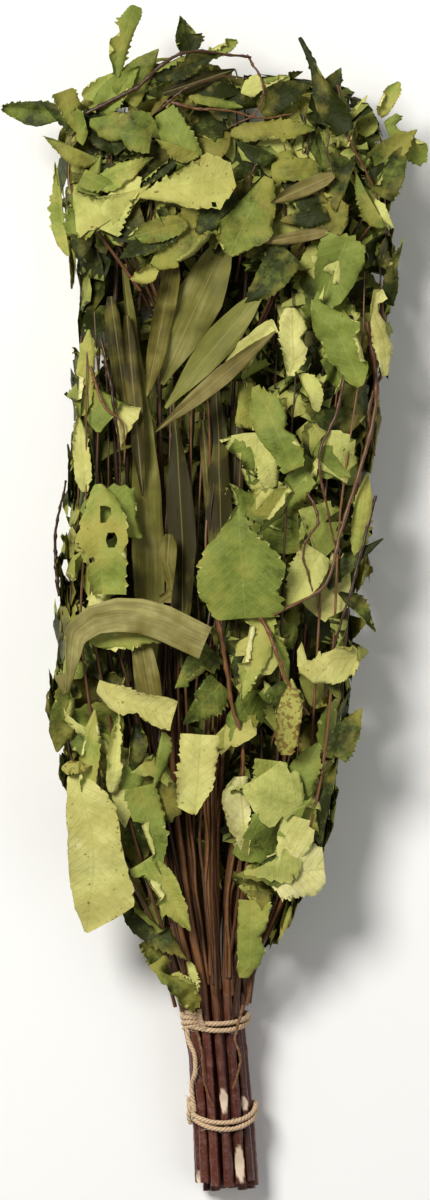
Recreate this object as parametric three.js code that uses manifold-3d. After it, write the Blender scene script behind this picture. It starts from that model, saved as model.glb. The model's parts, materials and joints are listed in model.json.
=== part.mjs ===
// A sauna whisk: a tied bundle of dried, leafy birch twigs with a little eucalyptus, lying on a table.
//
// Millimetres. +Y runs from the cut ends to the leafy head, +X is to the right and +Z is up.
// The bundle rests on the leaves under its head, and its grip slopes down until the cut ends rest too.
// The stems are tied side by side in the grip and fan out into a flat layer in the head. Leafy side twigs
// lie under and over that layer, apart from an open stretch in front where the stems and the long
// eucalyptus leaves show. A spray is the outer shape of all the small twigs and leaves of one region.
import * as THREE from "three";
import { mergeVertices } from "three/addons/utils/BufferGeometryUtils.js";
import Module from "manifold-3d";

const { smoothstep, degToRad, seededRandom } = THREE.MathUtils;

// ---------------------------------------------------------------- driving dimensions
const STEM_RADIUS = 2.4; // a birch twig at its cut end
const STEM_TAPER = [[0, 1], [0.16, 0.95], [0.3, 0.62], [1, 0.36]]; // shares of it, by the share along the twig
const STEM_SIDES = 6;
const STEM_STEPS = 10;
const STEM_TIPS_Y = 520; // the twigs in the middle of the bundle end about here, the outer ones lower
const LEAF_THICKNESS = 0.8;
const LEAF_ROWS = 9;
const SPRAY_SIDES = 10;
const SPRAY_STEPS = 8;
const TWINE_RADIUS = 1.25;
const TWINE_SIDES = 6;
const TOUCH_GAP = 0.35; // left between pieces that touch
const LOWER_TIE_Y = 45;
const UPPER_TIE_Y = 90;

// The middle of the bundle, how far the stems have spread from their places in the grip, and the head's
// middle and half width, each along the bundle's length. A row is [y, value].
const AXIS_X = [[0, 7], [45, 4.5], [90, 1], [150, -4], [230, -5], [400, 0], [600, 8]];
const AXIS_Z = [[0, 12.9], [45, 16.3], [90, 19.6], [150, 24], [230, 30], [300, 32], [600, 32]];
const SPREAD_X = [[0, 1], [90, 0.97], [120, 1.15], [150, 1.6], [200, 2.6], [260, 3.6], [400, 4.7], [600, 5.4]];
const SPREAD_Z = [[0, 1], [90, 0.97], [150, 0.85], [260, 0.66], [600, 0.62]];
const HEAD_X = [[110, -1], [160, -4], [250, -6], [350, 2], [450, 11], [510, 8], [600, 3]];
const HEAD_HALF = [[110, 22], [135, 36], [160, 52], [200, 67], [250, 74], [350, 73], [450, 81], [510, 88], [600, 74]];

// The stems' places in the grip: three nested rings, as flattened as the grip is.
const STEM_RINGS = [
  { count: 13, halfWidth: 13.3, halfHeight: 10.9, turn: 0.11 },
  { count: 7, halfWidth: 7.9, halfHeight: 5.6, turn: 0.3 },
  { count: 2, halfWidth: 2.6, halfHeight: 0, turn: 0 },
];
const GRIP_HALF_WIDTH = STEM_RINGS[0].halfWidth + STEM_RADIUS + 0.2;
const GRIP_HALF_HEIGHT = STEM_RINGS[0].halfHeight + STEM_RADIUS + 0.2;

// ---------------------------------------------------------------- materials
const finish = (color, roughness) =>
  new THREE.MeshStandardMaterial({ color, roughness, metalness: 0, side: THREE.DoubleSide });
const BIRCH_BARK = finish("#5a342b", 0.6);
const EUCALYPTUS_BARK = finish("#6b5f3a", 0.65);
const LEAF_GREEN = finish("#7f8f45", 0.7);
const LEAF_PALE = finish("#c6c373", 0.8);
const LEAF_DARK = finish("#5f6a34", 0.7);
const EUCALYPTUS_LEAF = finish("#7c733d", 0.6);
const MIXED_SPRAY = finish("#75803f", 0.8);
const JUTE = finish("#b58f68", 0.9);

// ---------------------------------------------------------------- helpers
const bundle = new THREE.Group();

function add(name, geometry, material) {
  const mesh = new THREE.Mesh(geometry, material);
  mesh.name = name;
  bundle.add(mesh);
}

// The value at y of a table of [y, value] rows. Past either end it keeps the end row's value.
function along(rows, y) {
  const next = rows.findIndex((row) => row[0] >= y);
  if (next === 0) return rows[0][1];
  if (next === -1) return rows[rows.length - 1][1];
  const [y0, v0] = rows[next - 1];
  const [y1, v1] = rows[next];
  return THREE.MathUtils.lerp(v0, v1, (y - y0) / (y1 - y0));
}

// A number from -1 to 1 that is always the same for the same two whole numbers.
const varied = (piece, trait) => 2 * seededRandom(97 * piece + trait) - 1;

// Moves every vertex of a geometry to the point that place(x, y, z) gives for it.
function reshape(geometry, place) {
  const position = geometry.getAttribute("position");
  for (let i = 0; i < position.count; i++) {
    const p = place(position.getX(i), position.getY(i), position.getZ(i));
    position.setXYZ(i, p.x, p.y, p.z);
  }
  return geometry;
}

// ---------------------------------------------------------------- stems
// A tapered twig along a curve. Its cut end is slanted by cutSlant millimetres across its width.
function stemGeometry(curve, radius, cutSlant) {
  const rod = new THREE.CylinderGeometry(1, 1, 1, STEM_SIDES, STEM_STEPS);
  return reshape(rod, (x, y, z) => {
    const t = y + 0.5;
    const tangent = curve.getTangentAt(t);
    const across = tangent.clone().cross(new THREE.Vector3(0, 0, 1)).normalize();
    const upward = across.clone().cross(tangent);
    const r = radius * along(STEM_TAPER, t);
    const point = curve.getPointAt(t).addScaledVector(across, x * r).addScaledVector(upward, z * r);
    if (t < 0.01) point.y += cutSlant * x;
    return point;
  });
}

function addStems() {
  let number = 0;
  for (const ring of STEM_RINGS) {
    for (let i = 0; i < ring.count; i++) {
      number += 1;
      const angle = (2 * Math.PI * (i + ring.turn)) / ring.count;
      const u = ring.halfWidth * Math.cos(angle);
      const v = ring.halfHeight * Math.sin(angle);
      const buttY = 6 + 3.5 * varied(number, 1);
      const tipY = STEM_TIPS_Y + 45 * varied(number, 2) - 3.6 * Math.abs(u);
      const stations = [buttY, LOWER_TIE_Y, UPPER_TIE_Y, 120, 150, 200, 260, 330, 400, tipY];
      const points = stations.map((y, k) => {
        const loose = 2.2 * smoothstep(y, 130, 300);
        const x = along(AXIS_X, y) + u * along(SPREAD_X, y) + loose * varied(number, 10 + k);
        const z = along(AXIS_Z, y) + v * along(SPREAD_Z, y);
        return new THREE.Vector3(x, y, z);
      });
      const radius = STEM_RADIUS + 0.15 * varied(number, 3);
      const isEucalyptus = number === 5 || number === 18;
      const name = `${isEucalyptus ? "eucalyptus" : "birch"}_stem_${String(number).padStart(2, "0")}`;
      const curve = new THREE.CatmullRomCurve3(points);
      const geometry = stemGeometry(curve, radius, 1.6 * varied(number, 4));
      add(name, geometry, isEucalyptus ? EUCALYPTUS_BARK : BIRCH_BARK);
    }
  }
}

// ---------------------------------------------------------------- leafy sprays
// from and to are the ends along Y. left and right are the sides, as tables along Y of shares of the head's
// half width, -1 at its left edge and 1 at its right. Heights are tables along Y too.
const UNDER_TOP = [[110, 6], [150, 9.5], [200, 14], [260, 20], [300, 21.5], [600, 21.5]];
const OVER_BOTTOM = [[110, 36], [150, 38.5], [200, 41], [260, 42.5], [600, 42.5]];
const OVER_TOP = [[110, 44], [150, 52], [200, 60], [260, 63.5], [600, 63.5]];
const SPRAYS = [
  { name: "under_spray_left", under: true, from: 118, to: 572, left: [[0, -1]], right: [[0, -0.36]] },
  { name: "under_spray_middle", under: true, from: 124, to: 584, left: [[0, -0.33]], right: [[0, 0.33]] },
  { name: "under_spray_right", under: true, from: 118, to: 576, left: [[0, 0.36]], right: [[0, 1]] },
  {
    name: "left_spray",
    from: 120,
    to: 474,
    left: [[0, -1]],
    right: [[120, -0.3], [240, -0.36], [290, -0.7], [474, -0.8]],
  },
  {
    name: "inner_right_spray",
    from: 128,
    to: 474,
    left: [[120, 0.32], [240, 0.26], [290, 0.18], [474, 0.04]],
    right: [[120, 0.62], [474, 0.5]],
  },
  { name: "right_spray", from: 134, to: 474, left: [[120, 0.66], [474, 0.54]], right: [[0, 1]] },
  { name: "top_left_spray", from: 477, to: 583, left: [[477, -1], [583, -0.94]], right: [[0, -0.04]] },
  { name: "top_right_spray", from: 477, to: 578, left: [[0, 0]], right: [[477, 1], [578, 0.94]] },
];

function sprayGeometry({ from, to, left, right, under = false }) {
  const halfSide = Math.PI / SPRAY_SIDES; // turned by this, it has a flat side on top and one below
  const pillow = new THREE.CylinderGeometry(1, 1, 1, SPRAY_SIDES, SPRAY_STEPS, false, halfSide);
  const squared = (value) => Math.sign(value) * Math.pow(Math.abs(value), 0.6);
  const flatTop = squared(Math.cos(halfSide));
  return reshape(pillow, (x, y, z) => {
    const t = y + 0.5;
    const place = THREE.MathUtils.lerp(from, to, t);
    const edge = (shares) => along(HEAD_X, place) + along(HEAD_HALF, place) * along(shares, place);
    const rounding = 1 - 0.55 * Math.pow(Math.abs(2 * t - 1), 5);
    const halfWidth = ((edge(right) - edge(left)) / 2) * rounding;
    const bottom = under ? 0 : along(OVER_BOTTOM, place);
    const halfHeight = ((along(under ? UNDER_TOP : OVER_TOP, place) - bottom) / 2) * rounding;
    const centre = new THREE.Vector3((edge(left) + edge(right)) / 2, place, bottom + halfHeight);
    centre.x += squared(x) * halfWidth;
    centre.z += (squared(z) / flatTop) * halfHeight;
    return centre;
  });
}

// ---------------------------------------------------------------- leaves
// The points of a leaf's midrib, from where it is held to its tip. edges are rows of the share along it and
// the distances in millimetres to its left and right edges, seen from above, so a leaf that is folded or torn
// has straight and lopsided edges. roll turns it about its midrib, rollAtTip is the roll reached at its tip, and
// fold raises its two halves, in degrees. arch lifts the middle of a leaf that is given by two points.
function leafGeometry({ midrib, edges, roll = 0, rollAtTip = roll, fold = 8, arch = 3 }) {
  const points = midrib.map(([x, y, z]) => new THREE.Vector3(x, y, z));
  if (points.length === 2) {
    const raised = points[0].clone().lerp(points[1], 0.5);
    raised.z += arch;
    points.splice(1, 0, raised);
  }
  const curve = new THREE.CatmullRomCurve3(points);
  const left = edges.map(([t, reach]) => [t, reach]);
  const right = edges.map(([t, , reach]) => [t, reach]);
  const slab = new THREE.BoxGeometry(2, 1, 1, 2, LEAF_ROWS, 1);
  return reshape(slab, (s, y, n) => {
    const t = y + 0.5;
    const tangent = curve.getTangentAt(t);
    const turn = degToRad(THREE.MathUtils.lerp(roll, rollAtTip, t));
    const across = tangent.clone().cross(new THREE.Vector3(0, 0, 1)).normalize();
    across.applyAxisAngle(tangent, turn);
    const normal = across.clone().cross(tangent);
    const reach = along(s < 0 ? left : right, t);
    const lift = Math.abs(s) * reach * Math.sin(degToRad(fold)) + n * LEAF_THICKNESS;
    const out = s * reach * Math.cos(degToRad(fold));
    return curve.getPointAt(t).addScaledVector(across, out).addScaledVector(normal, lift);
  });
}

const BIRCH_LEAVES = [
  {
    name: "middle", // a corner folded under leaves it a straight lower edge
    face: LEAF_GREEN,
    midrib: [[16, 291, 70], [12.5, 347, 72]],
    edges: [[0, 13, 16], [0.18, 23, 19], [0.37, 23.5, 21], [0.45, 22, 22.5], [0.65, 18, 14], [0.8, 9, 5], [1, 1, 1]],
    roll: -4,
  },
  {
    name: "low_left",
    face: LEAF_PALE,
    midrib: [[-69, 213, 62], [-60, 176, 62], [-64, 134, 52]],
    edges: [[0, 3, 4], [0.2, 17, 9.5], [0.5, 14, 13], [0.7, 23, 11.5], [0.8, 23, 9.5], [0.92, 9, 4.5], [1, 1, 1]],
    roll: 6,
  },
  {
    name: "top_middle",
    face: LEAF_PALE,
    midrib: [[10, 512, 73], [-37, 501.5, 69]],
    edges: [[0, 6, 6], [0.2, 17, 13.5], [0.5, 11.8, 8.7], [0.8, 5, 3.5], [1, 1, 1]],
    roll: 8,
  },
  {
    name: "top_green",
    face: LEAF_GREEN,
    midrib: [[27, 511, 66], [8, 472, 67]],
    edges: [[0, 4, 2], [0.36, 12, 7], [0.6, 16, 10], [0.75, 11, 12], [0.9, 6, 10], [1, 2, 3]],
    arch: 0,
  },
  {
    name: "top_olive",
    face: LEAF_DARK,
    midrib: [[-62, 536, 67], [-31, 530, 70]],
    edges: [[0, 4, 2], [0.3, 9, 5], [0.6, 12, 7], [0.9, 12, 9], [1, 8, 8]],
    roll: -8,
  },
  {
    name: "crest",
    face: LEAF_GREEN,
    midrib: [[-50, 562, 65], [-39, 597, 54]],
    edges: [[0, 2, 3], [0.2, 6.5, 4], [0.45, 8.5, 3.5], [0.7, 6, 4], [0.9, 4, 5], [1, 2.5, 3]],
    roll: 12,
  },
  {
    name: "left_tip",
    face: LEAF_DARK,
    midrib: [[-77, 543, 56], [-105, 547, 46]],
    edges: [[0, 4, 4], [0.3, 8, 6.5], [0.6, 7, 5], [1, 1, 1]],
    roll: -20,
    fold: 24,
  },
  {
    name: "right_of_middle",
    face: LEAF_GREEN,
    midrib: [[22, 407, 68], [40, 365, 70]],
    edges: [[0, 3, 3], [0.12, 8, 6], [0.25, 10.7, 10], [0.4, 8, 10.8], [0.6, 8, 9.5], [0.77, 9, 7.5], [1, 6, 4.6]],
    roll: 6,
  },
  {
    name: "right_pale",
    face: LEAF_PALE,
    midrib: [[39, 446, 66], [40, 412, 67]],
    edges: [[0, 3, 3], [0.2, 8, 7], [0.6, 7.5, 6.5], [0.85, 5.5, 5], [1, 2, 3]],
    roll: -12,
  },
  {
    name: "right_green",
    face: LEAF_GREEN,
    midrib: [[52, 455, 70], [74, 407, 68]],
    edges: [[0, 4, 4], [0.15, 10, 8], [0.4, 12, 11], [0.7, 11, 10], [0.9, 6, 6], [1, 1, 2]],
    roll: 10,
    fold: 12,
  },
  {
    name: "right_edge",
    face: LEAF_PALE,
    midrib: [[82, 455, 62], [86, 412, 60]],
    edges: [[0, 3, 3], [0.3, 7, 6], [0.6, 7, 5], [1, 1, 3]],
    roll: -24,
  },
  {
    name: "left_torn",
    face: LEAF_GREEN,
    midrib: [[-55, 303, 67], [-57, 358, 68]],
    edges: [[0, 5, 12], [0.3, 8, 14], [0.6, 12, 14], [0.8, 8, 11], [1, 3, 2]],
    roll: -6,
  },
  {
    name: "right_low",
    face: LEAF_PALE,
    midrib: [[42, 270, 70], [72, 272, 66]],
    edges: [[0, 5, 6], [0.2, 14, 12], [0.6, 9, 13], [0.9, 6, 9], [1, 3, 4]],
    roll: 6,
  },
  {
    name: "left_strip", // folded on both sides into a band
    face: LEAF_PALE,
    midrib: [[-58.5, 254, 68], [-20, 242, 69]],
    edges: [[0, 6.5, 6.5], [0.3, 6.5, 6], [0.6, 6.5, 7], [0.85, 8, 8.5], [1, 8, 8]],
    roll: -12,
  },
  {
    name: "low_middle",
    face: LEAF_PALE,
    midrib: [[-6.5, 233, 67], [-9.5, 193.5, 65]],
    edges: [[0, 10, 10], [0.35, 9.5, 10], [0.7, 8, 9.5], [0.88, 3.5, 9], [1, 1, 1]],
    roll: 8,
  },
  {
    name: "low_half", // folded in half along its midrib
    face: LEAF_PALE,
    midrib: [[13, 212, 64], [16, 173, 61]],
    edges: [[0, 5, 3], [0.15, 5, 10], [0.35, 4.3, 12], [0.55, 3.7, 9.5], [0.8, 2, 4.5], [1, 1, 1]],
    roll: -14,
  },
  {
    name: "low_right",
    face: LEAF_PALE,
    midrib: [[15, 162, 57], [55.5, 166, 56]],
    edges: [[0, 5, 3], [0.15, 7.5, 12.5], [0.5, 11, 13], [0.85, 15, 14], [1, 10, 8]],
    roll: 4,
  },
  {
    name: "grip_right",
    face: LEAF_GREEN,
    midrib: [[20, 150, 52], [18, 111, 42]],
    edges: [[0, 9, 8], [0.3, 8, 7.5], [0.65, 7, 7], [0.9, 5, 6.5], [1, 3, 5]],
    roll: 8,
  },
  {
    name: "grip_left", // small and crumpled, down by the upper tie
    face: LEAF_DARK,
    midrib: [[-28, 120, 46], [-9, 95, 41]],
    edges: [[0, 4, 4], [0.3, 8, 6], [0.7, 7, 7], [1, 2, 3]],
    roll: -18,
    fold: 20,
  },
  {
    name: "right_top",
    face: LEAF_GREEN,
    midrib: [[88, 541, 60], [105, 519, 50]],
    edges: [[0, 4, 4], [0.4, 9, 7], [0.75, 7, 6], [1, 1, 2]],
    roll: 12,
  },
  {
    name: "tall_right",
    face: LEAF_DARK,
    midrib: [[66, 533, 67], [43, 581, 58]],
    edges: [[0, 5, 5], [0.25, 9, 7], [0.5, 6, 3], [0.65, 3, 2], [0.85, 1.5, 1.5], [1, 1, 1]],
    roll: -12,
    fold: 14,
  },
];

const scaled = (edges, share) => edges.map(([t, left, right]) => [t, left * share, right * share]);
const LONG = [[0, 1, 1], [0.25, 6, 6], [0.45, 8, 8], [0.7, 6.2, 6.2], [0.88, 2.8, 2.8], [1, 1, 1]];
const EUCALYPTUS_LEAVES = [
  { name: "crossing", midrib: [[31, 434, 66], [-29, 384, 66]], edges: scaled(LONG, 0.6) },
  { name: "broad", midrib: [[9, 486, 48], [-26, 408, 52]], edges: scaled(LONG, 1.5) },
  { name: "olive", midrib: [[27, 458, 57], [-24, 396, 58]], edges: LONG, roll: 8 },
  {
    name: "long_left",
    midrib: [[-33, 256, 47], [-33, 330, 49], [-36, 380, 49], [-45, 468, 48]],
    edges: [[0, 3, 3], [0.2, 7.5, 8], [0.4, 8.5, 9], [0.6, 5, 6], [0.8, 3.5, 4.5], [1, 1, 1]],
    roll: 10,
    rollAtTip: 24,
  },
  { name: "long_middle", midrib: [[-16, 266, 47], [-15.5, 330, 51], [-20, 402, 47]], edges: LONG, roll: -24 },
  { name: "long_right", midrib: [[4, 276, 47], [3.5, 345, 49], [1, 418, 46]], edges: LONG, roll: -30 },
  {
    name: "blunt",
    midrib: [[-24, 299, 58], [-22, 333, 59]],
    edges: [[0, 3, 3], [0.5, 4.2, 4.2], [0.85, 4.4, 4.4], [1, 2, 2]],
  },
  {
    name: "wrapping",
    midrib: [[-4, 279, 73], [-35, 292, 76], [-58, 291, 76], [-71, 281, 74], [-77, 267, 70], [-73, 252, 68]],
    edges: [[0, 9, 8], [0.2, 9, 9], [0.45, 8.5, 8.5], [0.7, 6, 6], [0.88, 4, 4], [1, 1, 1]],
    roll: 4,
    rollAtTip: -16,
  },
];

// ---------------------------------------------------------------- twine
// A point on the twine's way round the grip: angle in degrees, 0 at the right and 90 on top.
function roundTheGrip(angle, y, clear = 0) {
  const out = TWINE_RADIUS + TOUCH_GAP + clear;
  const halfWidth = GRIP_HALF_WIDTH * along(SPREAD_X, y) + out;
  const halfHeight = GRIP_HALF_HEIGHT * along(SPREAD_Z, y) + out;
  return new THREE.Vector3(
    along(AXIS_X, y) + halfWidth * Math.cos(degToRad(angle)),
    y,
    along(AXIS_Z, y) + halfHeight * Math.sin(degToRad(angle)),
  );
}

// Two turns round the grip, side by side, lower in front by sag.
function tieTurns(y, sag, startAngle) {
  const stepsPerTurn = 20;
  const pitch = 2 * TWINE_RADIUS + 0.3;
  const points = [];
  for (let i = 0; i <= 2 * stepsPerTurn; i++) {
    const turns = i / stepsPerTurn;
    const angle = startAngle + 360 * turns;
    const drop = sag * Math.max(0, Math.sin(degToRad(angle)));
    points.push(roundTheGrip(angle, y - pitch * (turns - 1) - drop));
  }
  return points;
}

function twineTube(points, steps) {
  const section = new THREE.Shape();
  section.absarc(0, 0, TWINE_RADIUS, 0, 2 * Math.PI);
  return new THREE.ExtrudeGeometry(section, {
    extrudePath: new THREE.CatmullRomCurve3(points),
    steps,
    curveSegments: TWINE_SIDES / 2,
  });
}

// A short length of twine over the turns of a tie, as the visible strands of its knot.
function knotStrand(angle, lean, y) {
  const strand = [];
  for (let i = 0; i <= 6; i++) {
    const t = i / 6 - 0.5;
    strand.push(roundTheGrip(angle + lean * t, y - 11 * t, 2.1 * Math.cos(Math.PI * t)));
  }
  return twineTube(strand, 6);
}

async function addTwine() {
  const wasm = await Module();
  wasm.setup();
  const startAngle = 148;
  const upper = tieTurns(UPPER_TIE_Y, 5, startAngle);
  const lower = tieTurns(LOWER_TIE_Y, 9.5, startAngle);
  const link = [
    roundTheGrip(150, 78, 0.2),
    roundTheGrip(134, 70, 0.2),
    roundTheGrip(136, 61, 0.2),
    roundTheGrip(151, 54, 0.2),
  ];
  const pieces = [
    twineTube([...upper, ...link, ...lower], 96),
    knotStrand(140, 18, UPPER_TIE_Y - 1.5),
    knotStrand(138, -20, UPPER_TIE_Y - 1.5),
    knotStrand(146, 16, LOWER_TIE_Y - 2),
  ];
  const solids = pieces.map((piece) => {
    piece.deleteAttribute("normal");
    piece.deleteAttribute("uv");
    const merged = mergeVertices(piece, 1e-4);
    const mesh = new wasm.Mesh({
      numProp: 3,
      vertProperties: merged.attributes.position.array,
      triVerts: new Uint32Array(merged.index.array),
    });
    return new wasm.Manifold(mesh);
  });
  const joined = solids.reduce((whole, solid) => whole.add(solid)).getMesh();
  const geometry = new THREE.BufferGeometry();
  geometry.setAttribute("position", new THREE.BufferAttribute(joined.vertProperties, 3));
  geometry.setIndex(new THREE.BufferAttribute(joined.triVerts, 1));
  add("binding_twine", geometry, JUTE);
}

// ---------------------------------------------------------------- assembly
addStems();
for (const spray of SPRAYS) add(spray.name, sprayGeometry(spray), MIXED_SPRAY);
for (const leaf of BIRCH_LEAVES) add(`birch_leaf_${leaf.name}`, leafGeometry(leaf), leaf.face);
for (const leaf of EUCALYPTUS_LEAVES) add(`eucalyptus_leaf_${leaf.name}`, leafGeometry(leaf), EUCALYPTUS_LEAF);
await addTwine();

// The origin is under the middle of the whole bundle, on the surface it rests on.
const box = new THREE.Box3().setFromObject(bundle);
bundle.position.set(-(box.min.x + box.max.x) / 2, -(box.min.y + box.max.y) / 2, -box.min.z);

export default bundle;
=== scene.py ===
"""A sauna whisk: dried, leafy birch twigs and a little eucalyptus, bound with jute twine, lying on a table.

Lengths are in millimetres until a mesh is made from them, and the places of everything come from the frame.
+Y runs from the cut ends to the leafy head, +X is to the right and +Z is up through the bundle's front.
"""

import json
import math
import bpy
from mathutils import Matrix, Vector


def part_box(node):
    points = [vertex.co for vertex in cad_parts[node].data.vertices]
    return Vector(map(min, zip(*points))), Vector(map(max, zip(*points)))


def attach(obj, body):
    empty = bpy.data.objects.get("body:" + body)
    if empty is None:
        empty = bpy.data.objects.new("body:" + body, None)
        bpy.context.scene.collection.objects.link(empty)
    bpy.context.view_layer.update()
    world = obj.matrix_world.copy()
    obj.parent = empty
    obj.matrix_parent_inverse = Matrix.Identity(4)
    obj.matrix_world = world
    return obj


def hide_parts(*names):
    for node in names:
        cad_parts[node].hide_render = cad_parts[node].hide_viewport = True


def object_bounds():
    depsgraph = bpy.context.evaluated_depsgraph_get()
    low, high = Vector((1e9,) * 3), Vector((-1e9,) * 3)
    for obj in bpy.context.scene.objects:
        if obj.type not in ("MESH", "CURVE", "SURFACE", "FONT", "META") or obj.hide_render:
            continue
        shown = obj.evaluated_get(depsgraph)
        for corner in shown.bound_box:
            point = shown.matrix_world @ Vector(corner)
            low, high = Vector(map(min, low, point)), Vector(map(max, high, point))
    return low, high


bl_info = {
    "name": "Tied bundle of leafy twigs",
    "version": (1, 0, 0),
    "blender": (4, 5, 0),
    "location": "3D Viewport > Sidebar > Twigs",
    "description": "Builds a sauna whisk of dried birch twigs, leaf by leaf, around its packed frame",
    "category": "Add Mesh",
}

import bmesh
import bpy
import numpy as np
from bpy.props import FloatProperty, FloatVectorProperty, PointerProperty
from mathutils import Vector

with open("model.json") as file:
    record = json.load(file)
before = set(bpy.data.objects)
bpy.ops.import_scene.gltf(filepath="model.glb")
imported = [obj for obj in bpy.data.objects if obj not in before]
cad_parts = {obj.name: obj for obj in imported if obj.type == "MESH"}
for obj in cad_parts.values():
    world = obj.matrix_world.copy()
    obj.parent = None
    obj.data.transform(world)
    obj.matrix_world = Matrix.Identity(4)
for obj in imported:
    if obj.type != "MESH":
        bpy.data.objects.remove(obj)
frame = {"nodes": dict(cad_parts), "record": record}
CAD_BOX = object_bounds()
MM = 0.001
CUT_ENDS = CAD_BOX[0][1] / MM


def linear(hex_colour):
    """An sRGB hex colour as the linear red, green and blue that Blender works in."""
    shares = [int(hex_colour[i : i + 2], 16) / 255 for i in (1, 3, 5)]
    return tuple(c / 12.92 if c <= 0.04045 else ((c + 0.055) / 1.055) ** 2.4 for c in shares)


def colour_property(name, description, hex_colour):
    return FloatVectorProperty(
        name=name, description=description, subtype="COLOR", size=3, min=0, max=1, default=linear(hex_colour)
    )


def length_property(name, description, millimetres):
    return FloatProperty(name=name, description=description, unit="LENGTH", default=millimetres * MM, min=0)


def power_property(name, description, watts):
    return FloatProperty(name=name, description=description, unit="POWER", default=watts)


# ---------------------------------------------------------------- what a user would change
class LeafSettings(bpy.types.PropertyGroup):
    length: length_property("Leaf length", "Usual length of a birch leaf with its stalk", 56)
    width: length_property("Leaf width", "Usual width of a birch leaf", 36)
    thickness: length_property("Leaf thickness", "Thickness of a dried leaf", 0.3)
    spacing: length_property("Leaf spacing", "Distance between leaves along a side twig", 17)
    tooth_depth: FloatProperty(
        name="Tooth depth", description="Depth of the teeth as a share of the half width", default=0.045
    )
    shaded_green: colour_property("Shaded green", "Upper side of the darkest leaves", "#2f3614")
    green: colour_property("Green", "Upper side of most leaves", "#6c7830")
    fresh_green: colour_property("Fresh green", "Upper side of the brightest leaves", "#8d9845")
    pale: colour_property("Pale underside", "Underside of most leaves", "#bdbd6a")
    brown: colour_property("Brown", "Spots, dry margins and torn edges", "#6e5026")


class EucalyptusSettings(bpy.types.PropertyGroup):
    olive: colour_property("Olive", "Face of a dried eucalyptus leaf", "#6b6329")
    khaki: colour_property("Khaki", "Its lighter, drier parts", "#8f8650")
    rib: colour_property("Midrib", "Midrib and the palest streaks", "#a89f62")
    shaded: colour_property("Shaded olive", "Its darkest parts", "#332e12")


class TwigSettings(bpy.types.PropertyGroup):
    kink: length_property("Kink", "How far a stem wanders from a smooth line", 0.5)
    old_bark: colour_property("Old bark", "Bark in the grip", "#5c2a20")
    young_bark: colour_property("Young bark", "Thinner, younger bark up in the head", "#8a5f34")
    bark_film: colour_property("Bark film", "Grey film on the bark", "#86635a")
    cut_wood: colour_property("Cut wood", "Wood where the bark is cut away", "#dcc4a8")


class TwineSettings(bpy.types.PropertyGroup):
    radius: length_property("Twine radius", "Half the thickness of the twine", 1.25)
    lay: length_property("Lay length", "Distance in which a strand goes once round the twine", 6)
    fibre: colour_property("Jute", "Colour of the jute fibres", "#d4b48e")
    shaded_fibre: colour_property("Jute in the lay", "Colour between the strands", "#94714e")


class StageSettings(bpy.types.PropertyGroup):
    floor: colour_property("Floor", "Colour of the plain floor", "#faf9f6")
    key_power: power_property("Key light", "Power of the main light", 58)
    fill_power: power_property("Fill light", "Power of the fill light", 7)


# ---------------------------------------------------------------- lines and grids of points
def unit(vectors):
    return vectors / np.maximum(np.linalg.norm(vectors, axis=-1, keepdims=True), 1e-9)


def distances(path):
    """How far along a line each of its points lies."""
    return np.r_[0, np.cumsum(np.linalg.norm(np.diff(path, axis=0), axis=1))]


def sampled(at, places, rows):
    """Rows that lie at some places, read off at others, column by column."""
    return np.column_stack([np.interp(at, places, column) for column in rows.T])


def through(points, count):
    """count evenly spaced rows on a smooth line through rows of x, y, z and any more that go with them."""
    points = np.asarray(points, float)
    padded = np.vstack([2 * points[0] - points[1], points, 2 * points[-1] - points[-2]])
    step = np.linspace(0, 1, 16, endpoint=False)[:, None]
    spans = [
        b + 0.5 * step * (c - a + step * (2 * a - 5 * b + 4 * c - d + step * (3 * (b - c) + d - a)))
        for a, b, c, d in zip(padded, padded[1:], padded[2:], padded[3:])
    ]
    fine = np.vstack(spans + [points[-1:]])
    walked = distances(fine[:, :3])
    return sampled(np.linspace(0, walked[-1], count), walked, fine)


def tube(path, radius, sides, reference=(0, 0, 1), plies=0, ply_depth=0.0, lay=1.0):
    """Rings of points round a line. With plies, it is twisted from that many strands."""
    tangent = unit(np.gradient(path, axis=0))
    across = unit(np.cross(tangent, reference))
    upward = np.cross(across, tangent)
    walked = distances(path)
    angle = np.linspace(0, 2 * np.pi, sides, endpoint=False)
    turned = plies * (angle - 2 * np.pi * walked[:, None] / lay)
    reach = (np.broadcast_to(radius, len(path))[:, None] * (1 + ply_depth * np.cos(turned)))[..., None]
    return path[:, None] + reach * (
        np.cos(angle)[:, None] * across[:, None] + np.sin(angle)[:, None] * upward[:, None]
    )


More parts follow.
